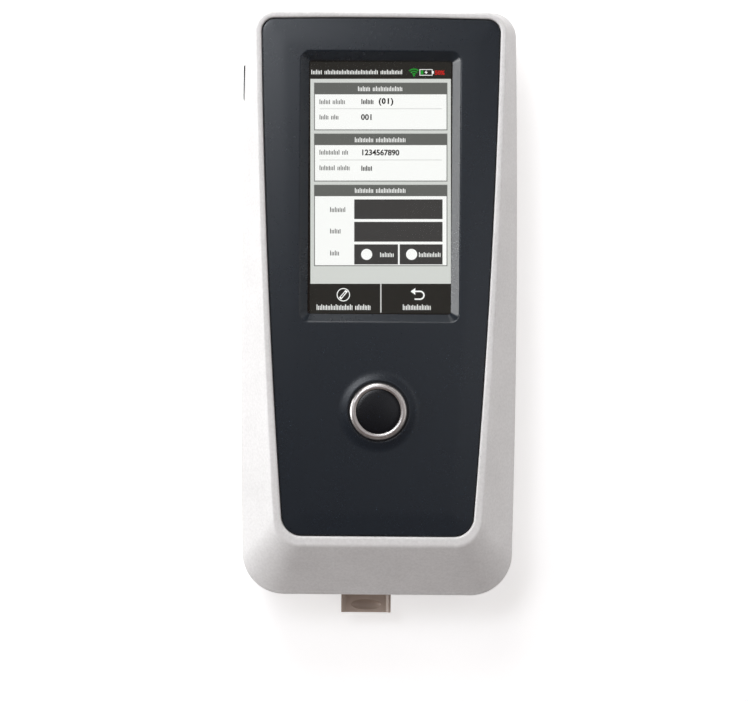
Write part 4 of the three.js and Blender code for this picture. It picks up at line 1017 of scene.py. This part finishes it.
# Cap of the round button: a satin black moulding with a faint dome, a narrow bevel round it and a stem that
# presses the switch.
cap_low, cap_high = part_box("button_cap")
cap_dome = 0.0076
cap_fall = 0.0003
cap_bevel = 0.0006
bevel_slope = 0.21
cap_edge = 0.0001
cap_skirt = cap_high.z - 0.003
cap_underside = cap_high.z - 0.0032
cap_stem = 0.002
cap_profile = [(0, cap_high.z)]
for step in range(1, 11):
    share = step / 10
    cap_profile.append((cap_dome * share, cap_high.z - cap_fall * share**2))
cap_rim = cap_dome + cap_bevel
cap_rim_height = cap_high.z - cap_fall - bevel_slope * cap_bevel
for angle in quarter(4):
    down = cap_edge * (1 - math.cos(angle))
    cap_profile.append((cap_rim + cap_edge * math.sin(angle), cap_rim_height - down))
cap_profile += [
    (cap_rim + cap_edge, cap_skirt),
    (cap_stem, cap_underside),
    (cap_stem, cap_low.z),
    (0, cap_low.z),
]
cap_profile.reverse()
button_top = turned("button_top", cap_profile, (ring_spot.x, ring_spot.y))
cap_plastic = moulded(
    "cap plastic", srgb(2, 6, 14), srgb(1, 5, 13), 0.28, grain=0.0004, depth=0.000005, specular=0.38
)
button_top.data.materials.append(cap_plastic)
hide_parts("button_cap")
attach(button_top, "button")

# Cassette tray: a warm grey moulding with a pocket for the cassette. Its colour is partly painted shade: it
# is darker than the plastic's own grey, to stand for the shade that the end of the housing casts on the tab.
# Its finger tab has a rail with a sloped inner side along each edge, and a shallow oval dish.
tray_x = (tray_low.x + tray_high.x) / 2
tab_half = 0.00965
tab_length = 0.00995
tab_root = 0.0015
tab_height = 0.0034
rail_height = 0.0043
rail_top = 0.0089
rail_foot = 0.00785
rail_section = (
    (tab_half, 0),
    (tab_half, rail_height),
    (rail_top, rail_height),
    (rail_foot, tab_height),
    (rail_foot, 0),
)
body_front = tray_low.y + tab_length
tray_body = block("tray_drawer", (tray_low.x, body_front, tray_low.z), tray_high)
tab = block(
    "tab",
    (tray_x - tab_half, tray_low.y, tray_low.z),
    (tray_x + tab_half, body_front + tab_root, tray_low.z + tab_height),
)
rails = [
    bar_through("rail", [
        [(tray_x + side * x, y, tray_low.z + z) for x, z in rail_section]
        for y in (tray_low.y, body_front + tab_root)
    ])
    for side in (-1, 1)
]
carve(tray_body, [tab, *rails], "UNION")

pocket_half = 0.0102
pocket_start = 0.003
pocket_end = 0.074
tray_floor = 0.002
catch_start = 0.0776
catch_end = 0.002
catch_height = 0.0042
catch_depth = 0.001
pocket = block(
    "pocket",
    (tray_x - pocket_half, body_front + pocket_start, tray_low.z + tray_floor),
    (tray_x + pocket_half, body_front + pocket_end, tray_high.z + past),
)
catch_groove = block(
    "catch groove",
    (tray_high.x - catch_depth, tray_high.y - catch_start, tray_low.z + tray_floor),
    (tray_high.x + past, tray_high.y - catch_end, tray_low.z + catch_height),
)
dish_place = 0.0031
dish_middle = (tray_x, tray_low.y + dish_place, tray_low.z + tab_height)
dish_radii = (0.0058, 0.002, 0.002)
dish_mesh = bmesh.new()
bmesh.ops.create_uvsphere(dish_mesh, u_segments=48, v_segments=24, radius=1)
for vertex in dish_mesh.verts:
    vertex.co = Vector([dish_middle[k] + vertex.co[k] * dish_radii[k] for k in range(3)])
carve(tray_body, [pocket, catch_groove, piece_of("dish", dish_mesh)])

edges = tray_body.modifiers.new("soft edges", "BEVEL")
edges.width = 0.00025
edges.segments = 2
edges.limit_method = "ANGLE"
edges.angle_limit = math.radians(40)
weigh(tray_body)
# Part of this darkness is painted shade: the tray is darker than its own warm grey, for the shadow of the
# housing's end on the tab.
shaded_tray_plastic = moulded("tray plastic with painted shade", srgb(186, 170, 158), srgb(179, 163, 151), 0.38)
tray_body.data.materials.clear()
tray_body.data.materials.append(shaded_tray_plastic)
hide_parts("cassette_tray")
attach(tray_body, "tray")

# Power key: a dark moulded key with round ends, standing in its slot in the left side wall. Its outer edge
# is rounded all round.
key_edge = 0.5
key_inside = 0.004
key_low, key_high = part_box("power_key")
key_stations = [(key_high.x - key_inside, 0)]
for angle in quarter(4):
    outward = key_edge * millimetre * (1 - math.sin(angle))
    key_stations.append((key_low.x + outward, key_edge * (1 - math.cos(angle))))
side_key = round_bar(
    "side_key", rectangle(key_width, key_length, key_round), middle_of("power_key"), key_stations
)
weigh(side_key)
key_plastic = moulded("key plastic", srgb(42, 43, 47), srgb(38, 39, 43), 0.45)
side_key.data.materials.append(key_plastic)
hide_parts("power_key")
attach(side_key, "key")

# Finishes of the pieces that keep their plain shape: the battery door, the feet and the screws outside, and
# all that lies inside. Each follows the material slot of its CAD node.
sheet_steel = moulded(
    "tinned sheet", (0.6, 0.61, 0.62, 1), (0.54, 0.55, 0.56, 1), 0.38,
    grain=0.0005, depth=0.000004, metal=1,
)
finishes = {
    "white_plastic": white_plastic,
    "clear_glass": clear_glass,
    "shield_metal": sheet_steel,
    "spring_metal": sheet_steel,
    "screw_metal": moulded(
        "screw steel", (0.46, 0.47, 0.49, 1), (0.4, 0.41, 0.43, 1), 0.32,
        grain=0.0002, depth=0.000004, metal=1,
    ),
    "black_plastic": moulded("black plastic", srgb(30, 31, 33), srgb(26, 27, 29), 0.5),
    "board_laminate": moulded("solder mask", srgb(28, 92, 58), srgb(24, 82, 52), 0.35, grain=0.0012),
    "ribbon_film": moulded(
        "amber film", srgb(186, 118, 46), srgb(174, 108, 40), 0.35, grain=0.001, depth=0.000004
    ),
    "foam": moulded("black foam", srgb(30, 30, 32), srgb(22, 22, 24), 0.95, grain=0.0004, depth=0.00008),
    "rubber": moulded("foot rubber", srgb(44, 45, 47), srgb(38, 39, 41), 0.85, grain=0.0004, depth=0.00004),
    "battery_wrap": moulded("shrink wrap", srgb(44, 96, 150), srgb(40, 88, 140), 0.3, grain=0.002),
    "lead_sheath": moulded("lead sheath", srgb(176, 42, 36), srgb(160, 36, 30), 0.5),
}
for part in frame["record"]["subparts"]:
    node = frame["nodes"][part["node"]]
    if not node.hide_render:
        node.material_slots[0].material = finishes[part["material_slot"]]
